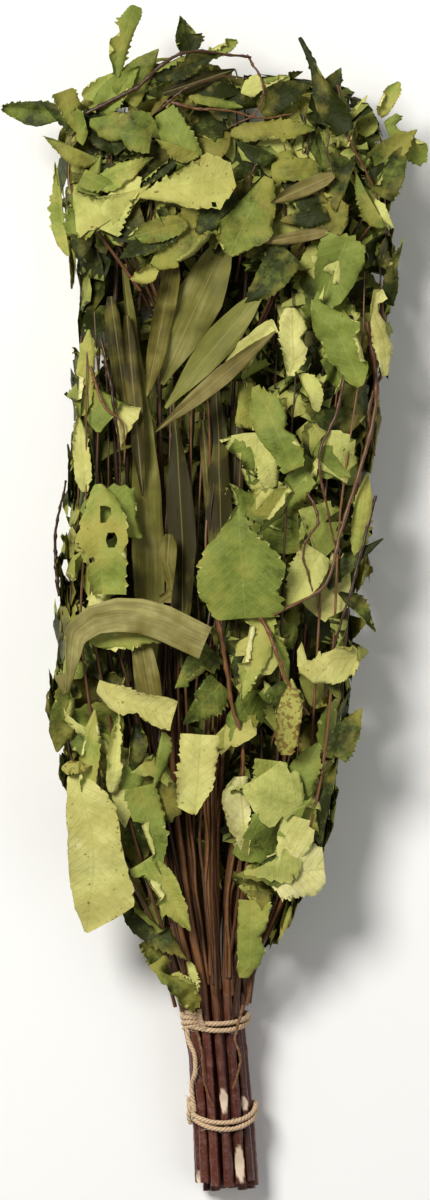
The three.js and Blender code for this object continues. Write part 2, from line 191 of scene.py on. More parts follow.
class Pieces:
    """Gathers grids of points, and joins them into one mesh object with the marks its materials read."""

    def __init__(self):
        self.points, self.faces, self.slots, self.places, self.growths, self.cells = [], [], [], [], [], []
        self.count = 0
        self.grids = 0

    def add(self, grids, slot, place, growth, wrap=False, keep=None, reverse=False):
        """grids is (grids, rows, columns, 3), and place and growth are marks like it. keep says which cells
        there are, if not all."""
        number, rows, columns = grids.shape[:3]
        row, column = np.mgrid[0 : rows - 1, 0 : columns - (0 if wrap else 1)].reshape(2, -1)
        corners = [(0, 0), (0, 1), (1, 1), (1, 0)]
        if reverse:
            corners = corners[::-1]
        quad = np.stack([(row + r) * columns + (column + c) % columns for r, c in corners], -1)
        cell = np.stack(
            [np.stack([(column + c) / (column.max() + 1), (row + r) / (rows - 1)], -1) for r, c in corners], 1
        )
        faces = quad[None] + self.count + rows * columns * np.arange(number)[:, None, None]
        sheet = self.grids + np.arange(number)[:, None, None, None]
        sheet = np.broadcast_to(sheet, (number, *cell.shape[:2], 1))
        cells = np.concatenate([np.broadcast_to(cell, (number, *cell.shape)), sheet], -1)
        slots = np.broadcast_to(np.reshape(slot, (-1, 1)), faces.shape[:2])
        keep = np.ones(faces.shape[:2], bool) if keep is None else keep.reshape(faces.shape[:2])
        self.faces.append(faces[keep])
        self.cells.append(cells[keep])
        self.slots.append(slots[keep])
        self.points.append(grids.reshape(-1, 3))
        self.places.append(np.broadcast_to(place, grids.shape).reshape(-1, 3))
        self.growths.append(np.broadcast_to(growth, grids.shape).reshape(-1, 3))
        self.count += number * rows * columns
        self.grids += number

    def join(self, name, materials):
        mesh = bpy.data.meshes.new(name)
        faces = np.vstack(self.faces)
        mesh.from_pydata(np.vstack(self.points) * MM, [], faces.tolist())
        mesh.polygons.foreach_set("material_index", np.concatenate(self.slots).astype(np.int32))
        mesh.polygons.foreach_set("use_smooth", np.ones(len(faces), bool))
        for mark, values in (("place", self.places), ("growth", self.growths)):
            layer = mesh.attributes.new(mark, "FLOAT_VECTOR", "POINT")
            layer.data.foreach_set("vector", np.vstack(values).astype(np.float32).ravel())
        self.lay_out(mesh, np.concatenate(self.cells))
        for material in materials:
            mesh.materials.append(material)
        mesh.update()
        piece = bpy.data.objects.new(name, mesh)
        bpy.context.scene.collection.objects.link(piece)
        return piece

    def lay_out(self, mesh, cells):
        """Gives every grid a square of its own on the map that the patterns are baked through."""
        across = math.ceil(math.sqrt(self.grids))
        sheet = cells[..., 2]
        corner = np.stack([sheet % across, sheet // across], -1)
        spread = (corner + 0.04 + 0.92 * cells[..., :2]) / across
        layer = mesh.uv_layers.new(name="OFBake")
        layer.uv.foreach_set("vector", spread.astype(np.float32).ravel())


def settle(piece, node):
    """Puts a finished piece in the frame in place of its plain solid."""
    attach(piece, "root")
    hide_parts(node)


# ---------------------------------------------------------------- reading the frame
# The least gap between a stem's rings in millimetres, and the corners in each row of a leaf solid.
RING_GAP = 6
ROW_CORNERS = 6
SLOT_OF = {part["node"]: part["material_slot"] for part in frame["record"]["subparts"]}


def nodes_named(*starts):
    return sorted(name for name in frame["nodes"] if name.startswith(starts))


def seeded(name):
    """Random numbers that are always the same for the same piece."""
    return np.random.default_rng(sum(ord(letter) * (i + 1) for i, letter in enumerate(name)))


def rings(name):
    """A stem's or spray's corners in its rings, from the cut end up: RING_GAP or more apart along Y."""
    corners = np.array([vertex.co for vertex in frame["nodes"][name].data.vertices]) / MM
    corners = corners[np.argsort(corners[:, 1])]
    breaks = np.flatnonzero(np.diff(corners[:, 1]) > RING_GAP) + 1
    return np.split(corners, breaks)


def stem_line(name):
    """Rows of x, y, z and radius down the middle of a stem."""
    return np.array(
        [[*ring.mean(0), np.linalg.norm(ring - ring.mean(0), axis=1).max()] for ring in rings(name)]
    )


def leaf_rows(name):
    """A leaf solid's left, middle and right points, row by row from its stalk to its tip."""
    shell = bmesh.new()
    shell.from_mesh(frame["nodes"][name].data)
    bmesh.ops.remove_doubles(shell, verts=shell.verts, dist=0.02 * MM)
    shell.verts.ensure_lookup_table()
    corners = np.array([vertex.co for vertex in shell.verts]) / MM
    gaps = np.linalg.norm(corners[:, None] - corners[None], axis=-1)
    end = np.unravel_index(gaps.argmax(), gaps.shape)[0]
    layer = set(np.argsort(gaps[end])[:ROW_CORNERS].tolist())
    seen, layers = set(layer), [sorted(layer)]
    while len(seen) < len(corners):
        beside = {edge.other_vert(shell.verts[i]).index for i in layer for edge in shell.verts[i].link_edges}
        layer = beside - seen
        seen |= layer
        layers.append(sorted(layer))
    shell.free()
    rows = [corners[layer] for layer in layers]
    width = [np.linalg.norm(row[:, None] - row[None], axis=-1).max() for row in rows]
    if width[1] > width[-2]:
        rows.reverse()
    return ordered_rows(rows)


def ordered_rows(rows):
    """Each row's left, middle and right points. Left and right carry on from the widest row both ways."""
    widest = max(range(len(rows)), key=lambda k: np.ptp(rows[k], axis=0).sum())
    middles = np.array([row.mean(0) for row in rows])
    tangent = unit(np.gradient(middles, axis=0))
    result = [None] * len(rows)
    across = None
    for k in [*range(widest, -1, -1), *range(widest + 1, len(rows))]:
        row = rows[k]
        gaps = np.linalg.norm(row[:, None] - row[None], axis=-1)
        a, b = np.unravel_index(gaps.argmax(), gaps.shape)
        line = unit(row[b] - row[a])
        line = unit(line - tangent[k] * (line @ tangent[k]))
        if across is None:
            across = line if np.cross(line, tangent[k])[2] > 0 else -line
            first = across
        if k == widest + 1:
            across = first
        if 0 < k < len(rows) - 1:
            across = line if line @ across > 0 else -line
        order = np.argsort((row - middles[k]) @ across)
        result[k] = [row[order[pair]].mean(0) for pair in (slice(0, 2), slice(2, 4), slice(4, 6))]
    return np.array(result)


class Region:
    """The space of one spray solid: its sides and heights along Y."""

    def __init__(self, name):
        sections = rings(name)
        self.y = np.array([ring[:, 1].mean() for ring in sections])
        self.low = np.array([ring.min(0) for ring in sections])
        self.high = np.array([ring.max(0) for ring in sections])

    def at(self, y, across, height):
        """The point at y that lies at these shares, from -1 to 1, of the way across and up."""
        edges = [np.interp(y, self.y, side[:, k]) for side in (self.low, self.high) for k in (0, 2)]
        left, bottom, right, top = edges
        x = (left + right) / 2 + across * (right - left) / 2
        z = (bottom + top) / 2 + height * (top - bottom) / 2
        return np.stack(np.broadcast_arrays(x, y, z), -1)


SPRAYS = nodes_named("under_spray", "left_spray", "inner_right", "right_spray", "top_left", "top_right")
REGIONS = {name: Region(name) for name in SPRAYS}
OUTLINE_Y = np.linspace(
    min(region.y[0] for region in REGIONS.values()), max(region.y[-1] for region in REGIONS.values()), 60
)


def outline_side(side, pick, beyond):
    """One side of the head along OUTLINE_Y, by the outermost region. beyond is used past a region's ends."""
    reach = [
        np.interp(OUTLINE_Y, region.y, getattr(region, side)[:, 0], left=beyond, right=beyond)
        for region in REGIONS.values()
    ]
    return pick(reach, axis=0)


LEFT_EDGE = outline_side("low", np.min, 1e3)
RIGHT_EDGE = outline_side("high", np.max, -1e3)
# The head's top edge: millimetres across, and from the cut ends.
TOP_EDGE = [
    (-84, 540), (-70, 552), (-57, 562), (-38, 574), (2, 574),
    (20, 563), (48, 560), (70, 557), (86, 546), (104, 522),
]
HEAD_SURFACE = max(region.high[:, 2].max() for region in REGIONS.values())
MID_HEIGHT = HEAD_SURFACE / 2
# The dark hollow in the head's top, lowered in the leaves and painted darker on the spray leaves in it as
# painted shade: where its middle is, across and from the cut ends, how far it reaches, and how far it is
# lowered as a share of the height above the middle.
HOLLOW_X, HOLLOW_Y = 4, 548
HOLLOW_WIDE, HOLLOW_LONG = 34, 18
HOLLOW_DEPTH = 0.62
# Where leaves start to fold over the head's sides (a share of its half width) and its top (millimetres below
# its edge), and how much of what is beyond goes back and down. None goes further down than the most.
FOLD_SIDE, FOLD_TOP = 0.93, 8
FOLD_BACK, FOLD_DOWN, FOLD_MOST = 0.72, 0.7, 30
# How much of what stands above the head's surface, or lies closer to the table than the gap, is pressed back.
PRESS_ABOVE, PRESS_BELOW = 0.75, 0.85
TABLE_GAP, LEAST_HEIGHT = 6, 0.6


def window_share(points):
    """0 in the open stretch in front where the stems show, rising to 1 at its leafy sides."""
    left, right = REGIONS["left_spray"], REGIONS["inner_right_spray"]
    x, y = points[..., 0], points[..., 1]
    inside = np.minimum(x - np.interp(y, left.y, left.high[:, 0]), np.interp(y, right.y, right.low[:, 0]) - x)
    inside = np.minimum(inside, left.y[-1] - y)
    return np.clip(1 - inside / 5, 0, 1)


def head_share(points):
    """How far across the head points are, from -1 at its left edge to 1 at its right, and its half width."""
    left = np.interp(points[..., 1], OUTLINE_Y, LEFT_EDGE)
    right = np.interp(points[..., 1], OUTLINE_Y, RIGHT_EDGE)
    half = (right - left) / 2
    return (points[..., 0] - (left + right) / 2) / half, half


def hollow(points):
    """1 in the middle of the hollow where the leaves swirl over the head's top, fading to 0 round it."""
    across = (points[..., 0] - HOLLOW_X) / HOLLOW_WIDE
    along = (points[..., 1] - CUT_ENDS - HOLLOW_Y) / HOLLOW_LONG
    return np.exp(-(across**2) - along**2)


def press(points, limit=HEAD_SURFACE):
    """Folds what sticks out of the head round its sides and over its top, and flattens it above and below."""
    share, half = head_share(points)
    over = np.maximum(np.abs(share) - FOLD_SIDE, 0) * half
    top = np.interp(points[..., 0], *np.transpose(TOP_EDGE)) + CUT_ENDS
    above = np.maximum(points[..., 1] - top + FOLD_TOP, 0)
    points[..., 0] -= np.sign(share) * FOLD_BACK * over
    points[..., 1] -= FOLD_BACK * above
    inward = np.where(points[..., 2] > MID_HEIGHT, -1, 1)
    points[..., 2] += inward * FOLD_DOWN * np.minimum(over + above, FOLD_MOST)
    points[..., 2] -= PRESS_ABOVE * np.maximum(points[..., 2] - limit, 0)
    points[..., 2] += PRESS_BELOW * np.maximum(TABLE_GAP - points[..., 2], 0)
    points[..., 2] = np.maximum(points[..., 2], LEAST_HEIGHT)
    points[..., 2] -= HOLLOW_DEPTH * hollow(points) * np.maximum(points[..., 2] - MID_HEIGHT, 0)
    return points


# ---------------------------------------------------------------- leaves
# A birch leaf: the half width's share along it from its stalk's end to its tip, and the places across it.
LEAF_OUTLINE = [
    [0, 0.04], [0.17, 0.04], [0.2, 0.34], [0.25, 0.68], [0.31, 0.86], [0.38, 0.97], [0.45, 1],
    [0.55, 0.89], [0.66, 0.68], [0.76, 0.45], [0.86, 0.24], [0.94, 0.1], [1, 0.01],
]
LEAF_ROWS = np.r_[0, 0.09, 0.17, np.linspace(0.2, 1, 17)]
LEAF_COLUMNS = np.array([-1, -0.7, -0.35, 0, 0.35, 0.7, 1])
BLADE_ROWS = 46
BLADE_COLUMNS = np.array([-1, -0.92, -0.75, -0.5, -0.25, 0, 0.25, 0.5, 0.75, 0.92, 1])
# Millimetres between side twigs across a spray, and the places of bark and of eucalyptus in a spray's
# materials, after a birch leaf's upper side and underside.
TWIG_GAP = 6.5
BARK_SLOT, LONG_SLOT = 2, 3


def leaf_blanks(length, width, tooth_depth, rng):
    """Flat birch leaves, stalk's end at 0, 0 and midrib along Y. length and width are arrays."""
    number = len(length)
    reach = np.interp(LEAF_ROWS, *np.transpose(LEAF_OUTLINE))
    reach = np.broadcast_to(reach[None, :, None], (number, len(LEAF_ROWS), 2)).copy()
    teeth = np.arange(4, len(LEAF_ROWS) - 1)
    sign = np.where(teeth % 2, 1, -1)
    depth = tooth_depth * rng.uniform(0.2, 2.4, (number, len(teeth), 2))
    reach[:, teeth] *= 1 + sign[None, :, None] * depth
    torn = rng.random((number, len(teeth), 2)) < 0.09
    reach[:, teeth] *= np.where(torn, rng.uniform(0.5, 0.85, torn.shape), 1)
    lean = rng.normal(0, 0.05, number)[:, None, None] * (LEAF_ROWS**2)[None, :, None]
    x = LEAF_COLUMNS * reach[:, :, np.where(LEAF_COLUMNS < 0, 0, 1)] * width[:, None, None] / 2
    y = np.broadcast_to(LEAF_ROWS[None, :, None] * length[:, None, None], x.shape)
    flat = np.stack([x + lean * length[:, None, None], y, np.zeros_like(x)], -1)
    place = np.stack([x, y, np.broadcast_to(LEAF_COLUMNS, x.shape)], -1)
    return flat, place


def crease(points, origin, heading, angle):
    """Turns what lies left of a line up about it, by an angle in degrees. Each leaf has its own line."""
    heading, angle = np.radians(heading)[:, None, None], np.radians(angle)[:, None, None]
    aside = np.stack([-np.sin(heading), np.cos(heading)], -1)
    away = np.sum((points[..., :2] - origin[:, None, None]) * aside, -1)
    near = (np.abs(away) < 1.6) & (angle != 0)
    points[..., :2] -= np.where(near, away, 0)[..., None] * aside
    away = np.where(near, 0, away)
    turned = away > 0
    height = points[..., 2].copy()
    flat = away * np.cos(angle) - height * np.sin(angle)
    points[..., :2] += np.where(turned, flat - away, 0)[..., None] * aside
    points[..., 2] = np.where(turned, away * np.sin(angle) + height * np.cos(angle), height)
    return points


def ripple(points, height, wavelength, rng):
    """Makes a leaf uneven, as it cockles and crumples into facets when it dries."""
    number = len(points)
    for crisp in (0.4, 0.4, 0.9, 0.9):
        heading, phase = rng.uniform(0, 2 * np.pi, (2, number, 1, 1))
        length = wavelength * rng.uniform(0.6, 1.7, (number, 1, 1))
        walked = (points[..., 0] * np.cos(heading) + points[..., 1] * np.sin(heading)) / length + phase
        facets = 4 * np.abs(np.mod(walked, 1) - 0.5) - 1
        wave = crisp * facets + (1 - crisp) * np.sin(2 * np.pi * walked)
        points[..., 2] += np.reshape(height, (-1, 1, 1)) / 3 * wave
    return points


def curl(points, axis, bend):
    """Bends leaves along an axis, 0 across or 1 along, by bend per millimetre, upward when it is above 0."""
    bend = np.where(np.abs(bend) < 1e-5, 1e-5, bend)[:, None, None]
    angle = points[..., axis] * bend
    height = points[..., 2].copy()
    points[..., 2] = (1 - np.cos(angle)) / bend + height * np.cos(angle)
    points[..., axis] = np.sin(angle) / bend - height * np.sin(angle)
    return points


def stand(points, base, heading, normal):
    """Puts leaves where they grow: stalks' ends at base, midribs along heading, upper sides along normal."""
    heading = unit(heading)
    across = unit(np.cross(heading, normal))
    normal = np.cross(across, heading)
    turn = np.stack([across, heading, normal], 1)
    return base[:, None, None] + np.einsum("nrci,nij->nrcj", points, turn)


def add_leaves(pieces, grids, place, growth, thickness, side, kept=None):
    """Adds both skins of leaves. side is 0 where the upper side is outward, 1 where the underside is, or the
    slot of the one material of both. kept says which cells there are, if not all."""
    step = np.cross(np.gradient(grids, axis=2), np.gradient(grids, axis=1))
    inner = np.ones(grids.shape[1:3])
    inner[[0, -1]] = 0
    inner[:, [0, -1]] = 0
    lift = unit(step) * inner[..., None] * thickness / 2
    pieces.add(grids + lift, side, place, growth, keep=kept)
    pieces.add(grids - lift, np.where(side < 2, 1 - side, side), place, growth, keep=kept, reverse=True)


def crumpled_birch_leaves(length, width, settings, rng):
    """Dried birch leaves in their own frame: some folded in half, and the others with a corner folded."""
    number = len(length)
    points, place = leaf_blanks(length, width, settings.tooth_depth, rng)
    form = rng.random(number)
    halved = form < 0.34
    corner = form > 0.34
    zero = np.zeros(number)
    middle = np.stack([zero, length * 0.5], -1)
    left = np.where(halved, rng.uniform(150, 172, number), rng.uniform(2, 26, number))
    right = np.where(halved, rng.uniform(-8, 8, number), rng.uniform(2, 26, number))
    swap = rng.random(number) < 0.5
    points = crease(points, middle, zero + 90, np.where(swap, left, right))
    points = crease(points, middle, zero - 90, np.where(swap, right, left))
    spot = np.stack([rng.uniform(-0.12, 0.12, number) * width, length * rng.uniform(0.45, 0.8, number)], -1)
    turn = np.where(corner, rng.choice([-1, 1], number) * rng.uniform(140, 174, number), 0)
    points = crease(points, spot, rng.uniform(-60, 60, number), turn)
    spot = np.stack([rng.uniform(-0.2, 0.2, number) * width, length * rng.uniform(0.35, 0.7, number)], -1)
    turn = rng.choice([-1, 1], number) * rng.choice([0, 25, 50, 160], number)
    points = crease(points, spot, rng.uniform(0, 360, number), turn)
    points = ripple(points, rng.uniform(1.2, 4.2, number), 28, rng)
    points = curl(points, 0, rng.normal(0, 0.024, number))
    points = curl(points, 1, rng.normal(-0.004, 0.014, number))
    return points, place


def spray_twigs(name, number, rng):
    """Side twigs that leave the stems low down and run up through a spray's space: (twigs, rows, 3)."""
    region = REGIONS[name]
    under = name.startswith("under")
    across = np.linspace(-0.8, 0.8, number)[rng.permutation(number)] + rng.normal(0, 0.06, number)
    height = np.linspace(-0.75, 0.75, number)[rng.permutation(number)]
    start = region.y[0] + rng.uniform(-6, 30, number)
    end = region.y[-1] - rng.uniform(4, 60, number)
    twigs = []
    for a, h, y0, y1 in zip(across, height, start, end):
        y = np.linspace(y0, y1, 9)
        sway = a + np.cumsum(rng.normal(0, 0.05, 9))
        points = region.at(y, np.clip(sway, -0.95, 0.95), h + rng.normal(0, 0.08, 9))
        root = points[0] * [0.55, 1, 1] + [0, -42, 16 if under else -14]
        twigs.append(through(np.vstack([root, points]), 26))
    return np.array(twigs)


def leaf_bases(twigs, settings, rng):
    """Where leaves grow on side twigs, and which way their twigs run there."""
    bases, runs = [], []
    for twig in twigs:
        count = int(distances(twig)[-1] * MM / settings.spacing)
        at = np.sort(rng.uniform(0.14, 1, count)) * (len(twig) - 1)
        steps = np.arange(len(twig))
        bases.append(sampled(at, steps, twig))
        runs.append(unit(sampled(at, steps, np.gradient(twig, axis=0))))
    return np.vstack(bases), np.vstack(runs)


def leaf_bearings(base, run, rng):
    """Which way leaves point, and which way they face: up or down, and out near the head's sides."""
    number = len(base)
    share, _ = head_share(base)
    side = np.where(base[:, 2] > MID_HEIGHT, 1.0, -1.0)
    outward = unit(np.stack([1.3 * share**5, np.zeros(number), side], -1)) + rng.normal(0, 0.24, (number, 3))
    outward = unit(outward)
    sideways = np.cross(run, outward)
    aside = np.radians(rng.choice([-1, 1], number) * rng.uniform(20, 130, number))[:, None]
    heading = run * np.cos(aside) + sideways * np.sin(aside) + outward * rng.normal(-0.06, 0.2, (number, 1))
    return heading, outward


def add_spray_leaves(pieces, name, twigs, settings, rng):
    """The leaves of one region's side twigs: none where the stems show, and painted darker the further in
    they lie and in the hollow, as painted shade, with fewer pale undersides there.
    """
    base, run = leaf_bases(twigs, settings, rng)
    heading, outward = leaf_bearings(base, run, rng)
    number = len(base)
    length = settings.length / MM * rng.uniform(0.62, 1.12, number)
    width = settings.width / MM * rng.uniform(0.62, 1.15, number)
    blades, place = crumpled_birch_leaves(length, width, settings, rng)
    limit = HEAD_SURFACE - 5 + rng.uniform(-7, 7, (number, 1, 1))
    blades = press(stand(blades, base, heading, outward), limit)
    middle = blades.mean((1, 2))
    top_share, lightness, pale_share = (0.95, 0.5, 0.05) if name.startswith("top") else (0.62, 0.95, 0.3)
    thinned = np.interp(middle[:, 2], [MID_HEIGHT + 8, MID_HEIGHT + 18], [1, top_share])
    shown = (middle[:, 2] < MID_HEIGHT - 6) | (rng.random(number) < thinned * window_share(middle) ** 2)
    # Painted shade: leaves near the head's middle height and in the hollow get a darker tint, and fewer of
    # them turn their pale underside out.
    unshaded_by_depth = np.interp(np.abs(middle[:, 2] - MID_HEIGHT), [10, 28], [0.05, 1])
    tint = lightness * unshaded_by_depth * rng.uniform(0.02, 1, number) ** 1.3
    unshaded_by_hollow = 1 - hollow(middle)
    growth = np.stack([tint * unshaded_by_hollow, rng.random(number), np.zeros(number)], -1)[shown][:, None, None]
    face_up = (rng.random(number) < pale_share * unshaded_by_depth * unshaded_by_hollow).astype(int)
    add_leaves(pieces, blades[shown], place[shown], growth, settings.thickness / MM, face_up[shown])


def leafy_spray(name, scene):
    """One region's side twigs with their leaves, and the loose leaves and twigs that lie there in front."""
    rng = seeded(name)
    settings = scene.whisk_leaves
    wide = np.mean(REGIONS[name].high[:, 0] - REGIONS[name].low[:, 0])
    twigs = spray_twigs(name, round(wide / TWIG_GAP), rng)
    pieces = Pieces()
    add_spray_leaves(pieces, name, twigs, settings, rng)
    taper = np.linspace(1.0, 0.35, twigs.shape[1])
    add_tubes(pieces, [press(twig) for twig in twigs], taper, 6, rng)
    add_loose_leaves(pieces, name, settings, rng)
    add_side_twigs(pieces, name, rng)
    materials = [
        dried_birch_leaf_upper(settings),
        dried_birch_leaf_underside(settings),
        birch_twig_bark(scene.whisk_twigs),
        dried_eucalyptus_leaf(scene.whisk_eucalyptus),
    ]
    return pieces.join(f"{name}_twigs_and_leaves", materials)


def add_tubes(pieces, paths, radius, sides, rng):
    """Adds twigs with bark on them. radius is along a path, or the same all the way."""
    for path in paths:
        grid = tube(path, radius, sides)[None]
        walked = np.linspace(0, 1, len(path))[None, :, None]
        place = np.stack(np.broadcast_arrays(np.linspace(0, 6, sides), walked * 300, 0), -1)
        # The second mark darkens each twig's bark at random, as painted shade for twigs among the leaves.
        growth = np.stack(np.broadcast_arrays(rng.random(), rng.uniform(0.1, 0.95), 0.7 + 0.4 * walked), -1)
        pieces.add(grid, BARK_SLOT, place, np.broadcast_to(growth, grid.shape), wrap=True)


def turn_margin(out, half, rng):
    """Turns one side's margin back over the blade for a stretch, so that its other side shows. Gives how far
    out the points then are, as a share, and how high, in millimetres."""
    crest = rng.choice([0.5, 0.75])
    along = np.linspace(0, 1, BLADE_ROWS)[:, None]
    side = rng.choice([-1, 0, 0, 1])
    middle, reach = rng.uniform(0.3, 0.7), rng.uniform(0.15, 0.32)
    share = np.clip((reach - np.abs(along - middle)) / 0.04, 0, 1) * (np.sign(BLADE_COLUMNS) == side)
    angle = np.radians(rng.uniform(140, 168)) * share
    beyond = np.maximum(out - crest, 0)
    return out - beyond * (1 - np.cos(angle)), beyond * half * np.sin(angle) + 0.25 * share * (beyond > 0)


def rough_margin(walked, half, tooth, rng):
    """How far the two margins of a blade stand out or in, in millimetres: teeth, worn stretches and tears."""
    sides = (BLADE_ROWS, 2)
    row = np.arange(BLADE_ROWS)[:, None]
    saw = 0.5 * np.where(row % 2, 1, -1) * rng.uniform(0, 1, sides)
    saw = saw + 2.4 * np.mod(np.cumsum(rng.uniform(0.1, 0.34, sides), axis=0), 1) - 1.2
    worn = np.clip(0.5 + np.sin(walked / rng.uniform(4, 9, (1, 2)) + rng.uniform(0, 6, (1, 2))), 0.3, 1.1)
    uneven = 0.9 * np.sin(walked / rng.uniform(2.4, 6, (1, 2)) + rng.uniform(0, 6, (1, 2)))
    torn = np.zeros(sides)
    for _ in range(3):
        middles, reaches = rng.uniform(4, BLADE_ROWS, (1, 2)), rng.uniform(1.2, 4, (1, 2))
        torn -= rng.uniform(-4, 5, (1, 2)).clip(0) * np.clip(1 - np.abs(row - middles) / reaches, 0, 1)
    rough = rng.choice([0.5, 0.9, 1.2], (1, 2))
    most = 0.45 * half[:, [0, -1]]
    return np.clip(tooth * (rough * worn * (saw + uneven) + torn), -most, 0.8 * most)


def laid_blade(rows, rng, tooth, cockle, wavelength=22, turned=False):
    """A dried blade on the surface that rows of left, middle and right points give, and its places."""
    steps, fine_steps = np.linspace(0, 1, len(rows)), np.linspace(0, 1, BLADE_ROWS)
    fine = sampled(fine_steps, steps, rows.reshape(len(rows), 9))
    left, middle, right = fine.reshape(-1, 3, 3).transpose(1, 0, 2)
    walked = distances(middle)[:, None]
    columns = BLADE_COLUMNS
    reach = np.where(columns[:, None] < 0, (left - middle)[:, None], (right - middle)[:, None])
    half = np.linalg.norm(reach, axis=-1)
    margin = np.zeros_like(half)
    margin[:, [0, -1]] = rough_margin(walked, half, tooth, rng)
    out = np.abs(columns) * (1 + margin / np.maximum(half, 0.1))
    out, lapped = turn_margin(out, half, rng) if turned else (out, 0)
    x, y = columns * half, np.broadcast_to(walked, half.shape)
    height = ripple(np.stack([x, y, 0 * x], -1)[None], np.array([cockle]), wavelength, rng)[0, ..., 2]
    height = height + lapped + 0.05 * cockle * np.cos(2 * np.pi * (y - 0.8 * np.abs(x)) / 5.2)
    rolled = np.sin(walked / rng.uniform(7, 14, (1, 2)) + rng.uniform(0, 6, (1, 2)))
    rolled = np.where(columns < 0, rolled[:, :1], rolled[:, 1:])
    height = height + 1.4 * cockle * np.abs(columns) ** 4 * rolled
    normal = unit(np.cross(right - left, np.gradient(middle, axis=0)))
    points = middle[:, None] + reach * out[..., None] + normal[:, None] * height[..., None]
    return points, np.stack([x, y, np.broadcast_to(columns, x.shape)], -1)


# Holes eaten through leaves: millimetres from the middle and from the cut ends, and two reaches.
HOLES = {
    "birch_leaf_left_torn": [(-55, 341, 2.2, 4.2), (-51.5, 328, 2.9, 3.8), (-61, 318, 1.4, 1.8)],
    "birch_leaf_top_middle": [(-6.5, 496.5, 0.9, 0.8), (-0.5, 494.5, 0.8, 0.7)],
}
# Leaves that are crumpled more than the rest: how high and how long their waves are, in millimetres.
CRUMPLED = {
    "birch_leaf_grip_left": (2.6, 9),
    "birch_leaf_left_torn": (2.2, 15),
    "birch_leaf_low_middle": (1.9, 20),
}
# Leaves whose teeth are larger or smaller than the rest's.
TEETH = {
    "birch_leaf_middle": 1.7,
    "birch_leaf_right_green": 1.4,
    "birch_leaf_right_of_middle": 1.3,
    "birch_leaf_low_left": 0.6,
}
# Leaves that stand out and may have a margin turned back over them.
TURNED = ("birch_leaf_right_green", "birch_leaf_right_low", "birch_leaf_top_olive", "birch_leaf_right_edge")


def pierce(points, holes):
    """Moves the points in a blade's holes out to their rims, and says which of its cells are left."""
    kept = np.ones((len(points) - 1, points.shape[1] - 1), bool)
    for x, y, wide, high in holes:
        off = (points[..., :2] - (x, y + CUT_ENDS)) / (wide, high)
        gap = np.linalg.norm(off, axis=-1, keepdims=True)
        middle = (off[1:, 1:] + off[1:, :-1] + off[:-1, 1:] + off[:-1, :-1]) / 4
        kept &= np.linalg.norm(middle, axis=-1) > 1
        points[..., :2] += np.where(gap < 1, off / np.maximum(gap, 0.05) - off, 0) * (wide, high)
    return kept


def single_leaf(name, materials, settings, face_up, growth, tooth=0.8, cockle=1.7):
    """A leaf that stands out, on the surface of its solid."""
    rng = seeded(name)
    cockle, wavelength = CRUMPLED.get(name, (cockle, 22))
    tooth = TEETH.get(name, tooth)
    points, place = laid_blade(leaf_rows(name), rng, tooth, cockle, wavelength, turned=name in TURNED)
    kept = pierce(points, HOLES.get(name, []))
    pieces = Pieces()
    growth = np.broadcast_to(growth, points.shape)[None]
    add_leaves(pieces, points[None], place[None], growth, settings.thickness / MM, np.array([face_up]), kept)
    return pieces.join(f"{name}_blade", materials)


# ---------------------------------------------------------------- loose leaves and twigs
# How a leaf shows once it is folded: rows of the share along it, and its left and right reach as shares.
FORMS = {
    "whole": [
        [0, 0.1, 0.1], [0.06, 0.45, 0.4], [0.16, 0.85, 0.8], [0.32, 1, 1], [0.55, 0.86, 0.84],
        [0.75, 0.5, 0.48], [0.9, 0.18, 0.16], [1, 0.02, 0.02],
    ],
    "halved": [
        [0, 0.2, 0.1], [0.12, 0.8, 0.12], [0.3, 1, 0.16],
        [0.55, 0.85, 0.12], [0.8, 0.4, 0.08], [1, 0.02, 0.02],
    ],
    "cornered": [
        [0, 0.75, 0.95], [0.15, 0.95, 1], [0.42, 1, 0.88],
        [0.68, 0.7, 0.55], [0.88, 0.28, 0.2], [1, 0.02, 0.02],
    ],
    "squared": [[0, 0.6, 0.85], [0.3, 1, 0.92], [0.75, 0.8, 1], [1, 0.5, 0.75]],
    "strip": [[0, 0.3, 0.4], [0.15, 0.8, 0.9], [0.45, 1, 1], [0.75, 0.8, 0.85], [1, 0.1, 0.1]],
}
# A tone is the place of the outer side's material, how light the leaf is, and how far it has browned.
# The darkest birch tone and the darkest long tone are painted shade, for loose leaves in the hollow of the
# head's top and in the open stretch.
TONES = {
    "in_shade": (0, -0.25, 0.5), "dark": (0, 0.06, 0.3), "olive": (0, 0.3, 0.8), "green": (0, 0.55, 0.3),
    "fresh": (0, 0.9, 0.3), "khaki": (1, 0.02, 0.8), "pale": (1, 0.5, 0.2), "tan": (1, 0.1, 2.5),
    "long": (LONG_SLOT, 0.4, 0.5), "long_dark": (LONG_SLOT, 0.1, 0.5),
    "long_in_shade": (LONG_SLOT, -0.12, 0.5), "long_brown": (LONG_SLOT, 0.5, 0.95),
}
# How light the birch leaves of each colour are, and those that differ from them.
BIRCH_TINTS = {
    "leaf_green": 0.5, "leaf_pale": 0.68, "leaf_dark": 0.18,
    "tall_right": -0.05, "top_green": 0.36, "left_torn": 0.8, "grip_right": 0.68, "low_half": 0.92,
    "low_right": 0.9, "top_middle": 0.38, "middle": 0.42, "left_strip": 0.8, "top_olive": 0.32,
}
# How light each long leaf is, and how far it has browned. Those in the open stretch are made the darkest, as
# painted shade.
LONG_TONES = {
    "long_left": (0.44, 0.3), "long_middle": (-0.1, 0.5), "long_right": (0.0, 0.5), "wrapping": (0.82, 0.4),
    "broad": (0.46, 0.25), "olive": (0.52, 0.12), "crossing": (0.46, 0.75), "blunt": (0.45, 0.5),
}
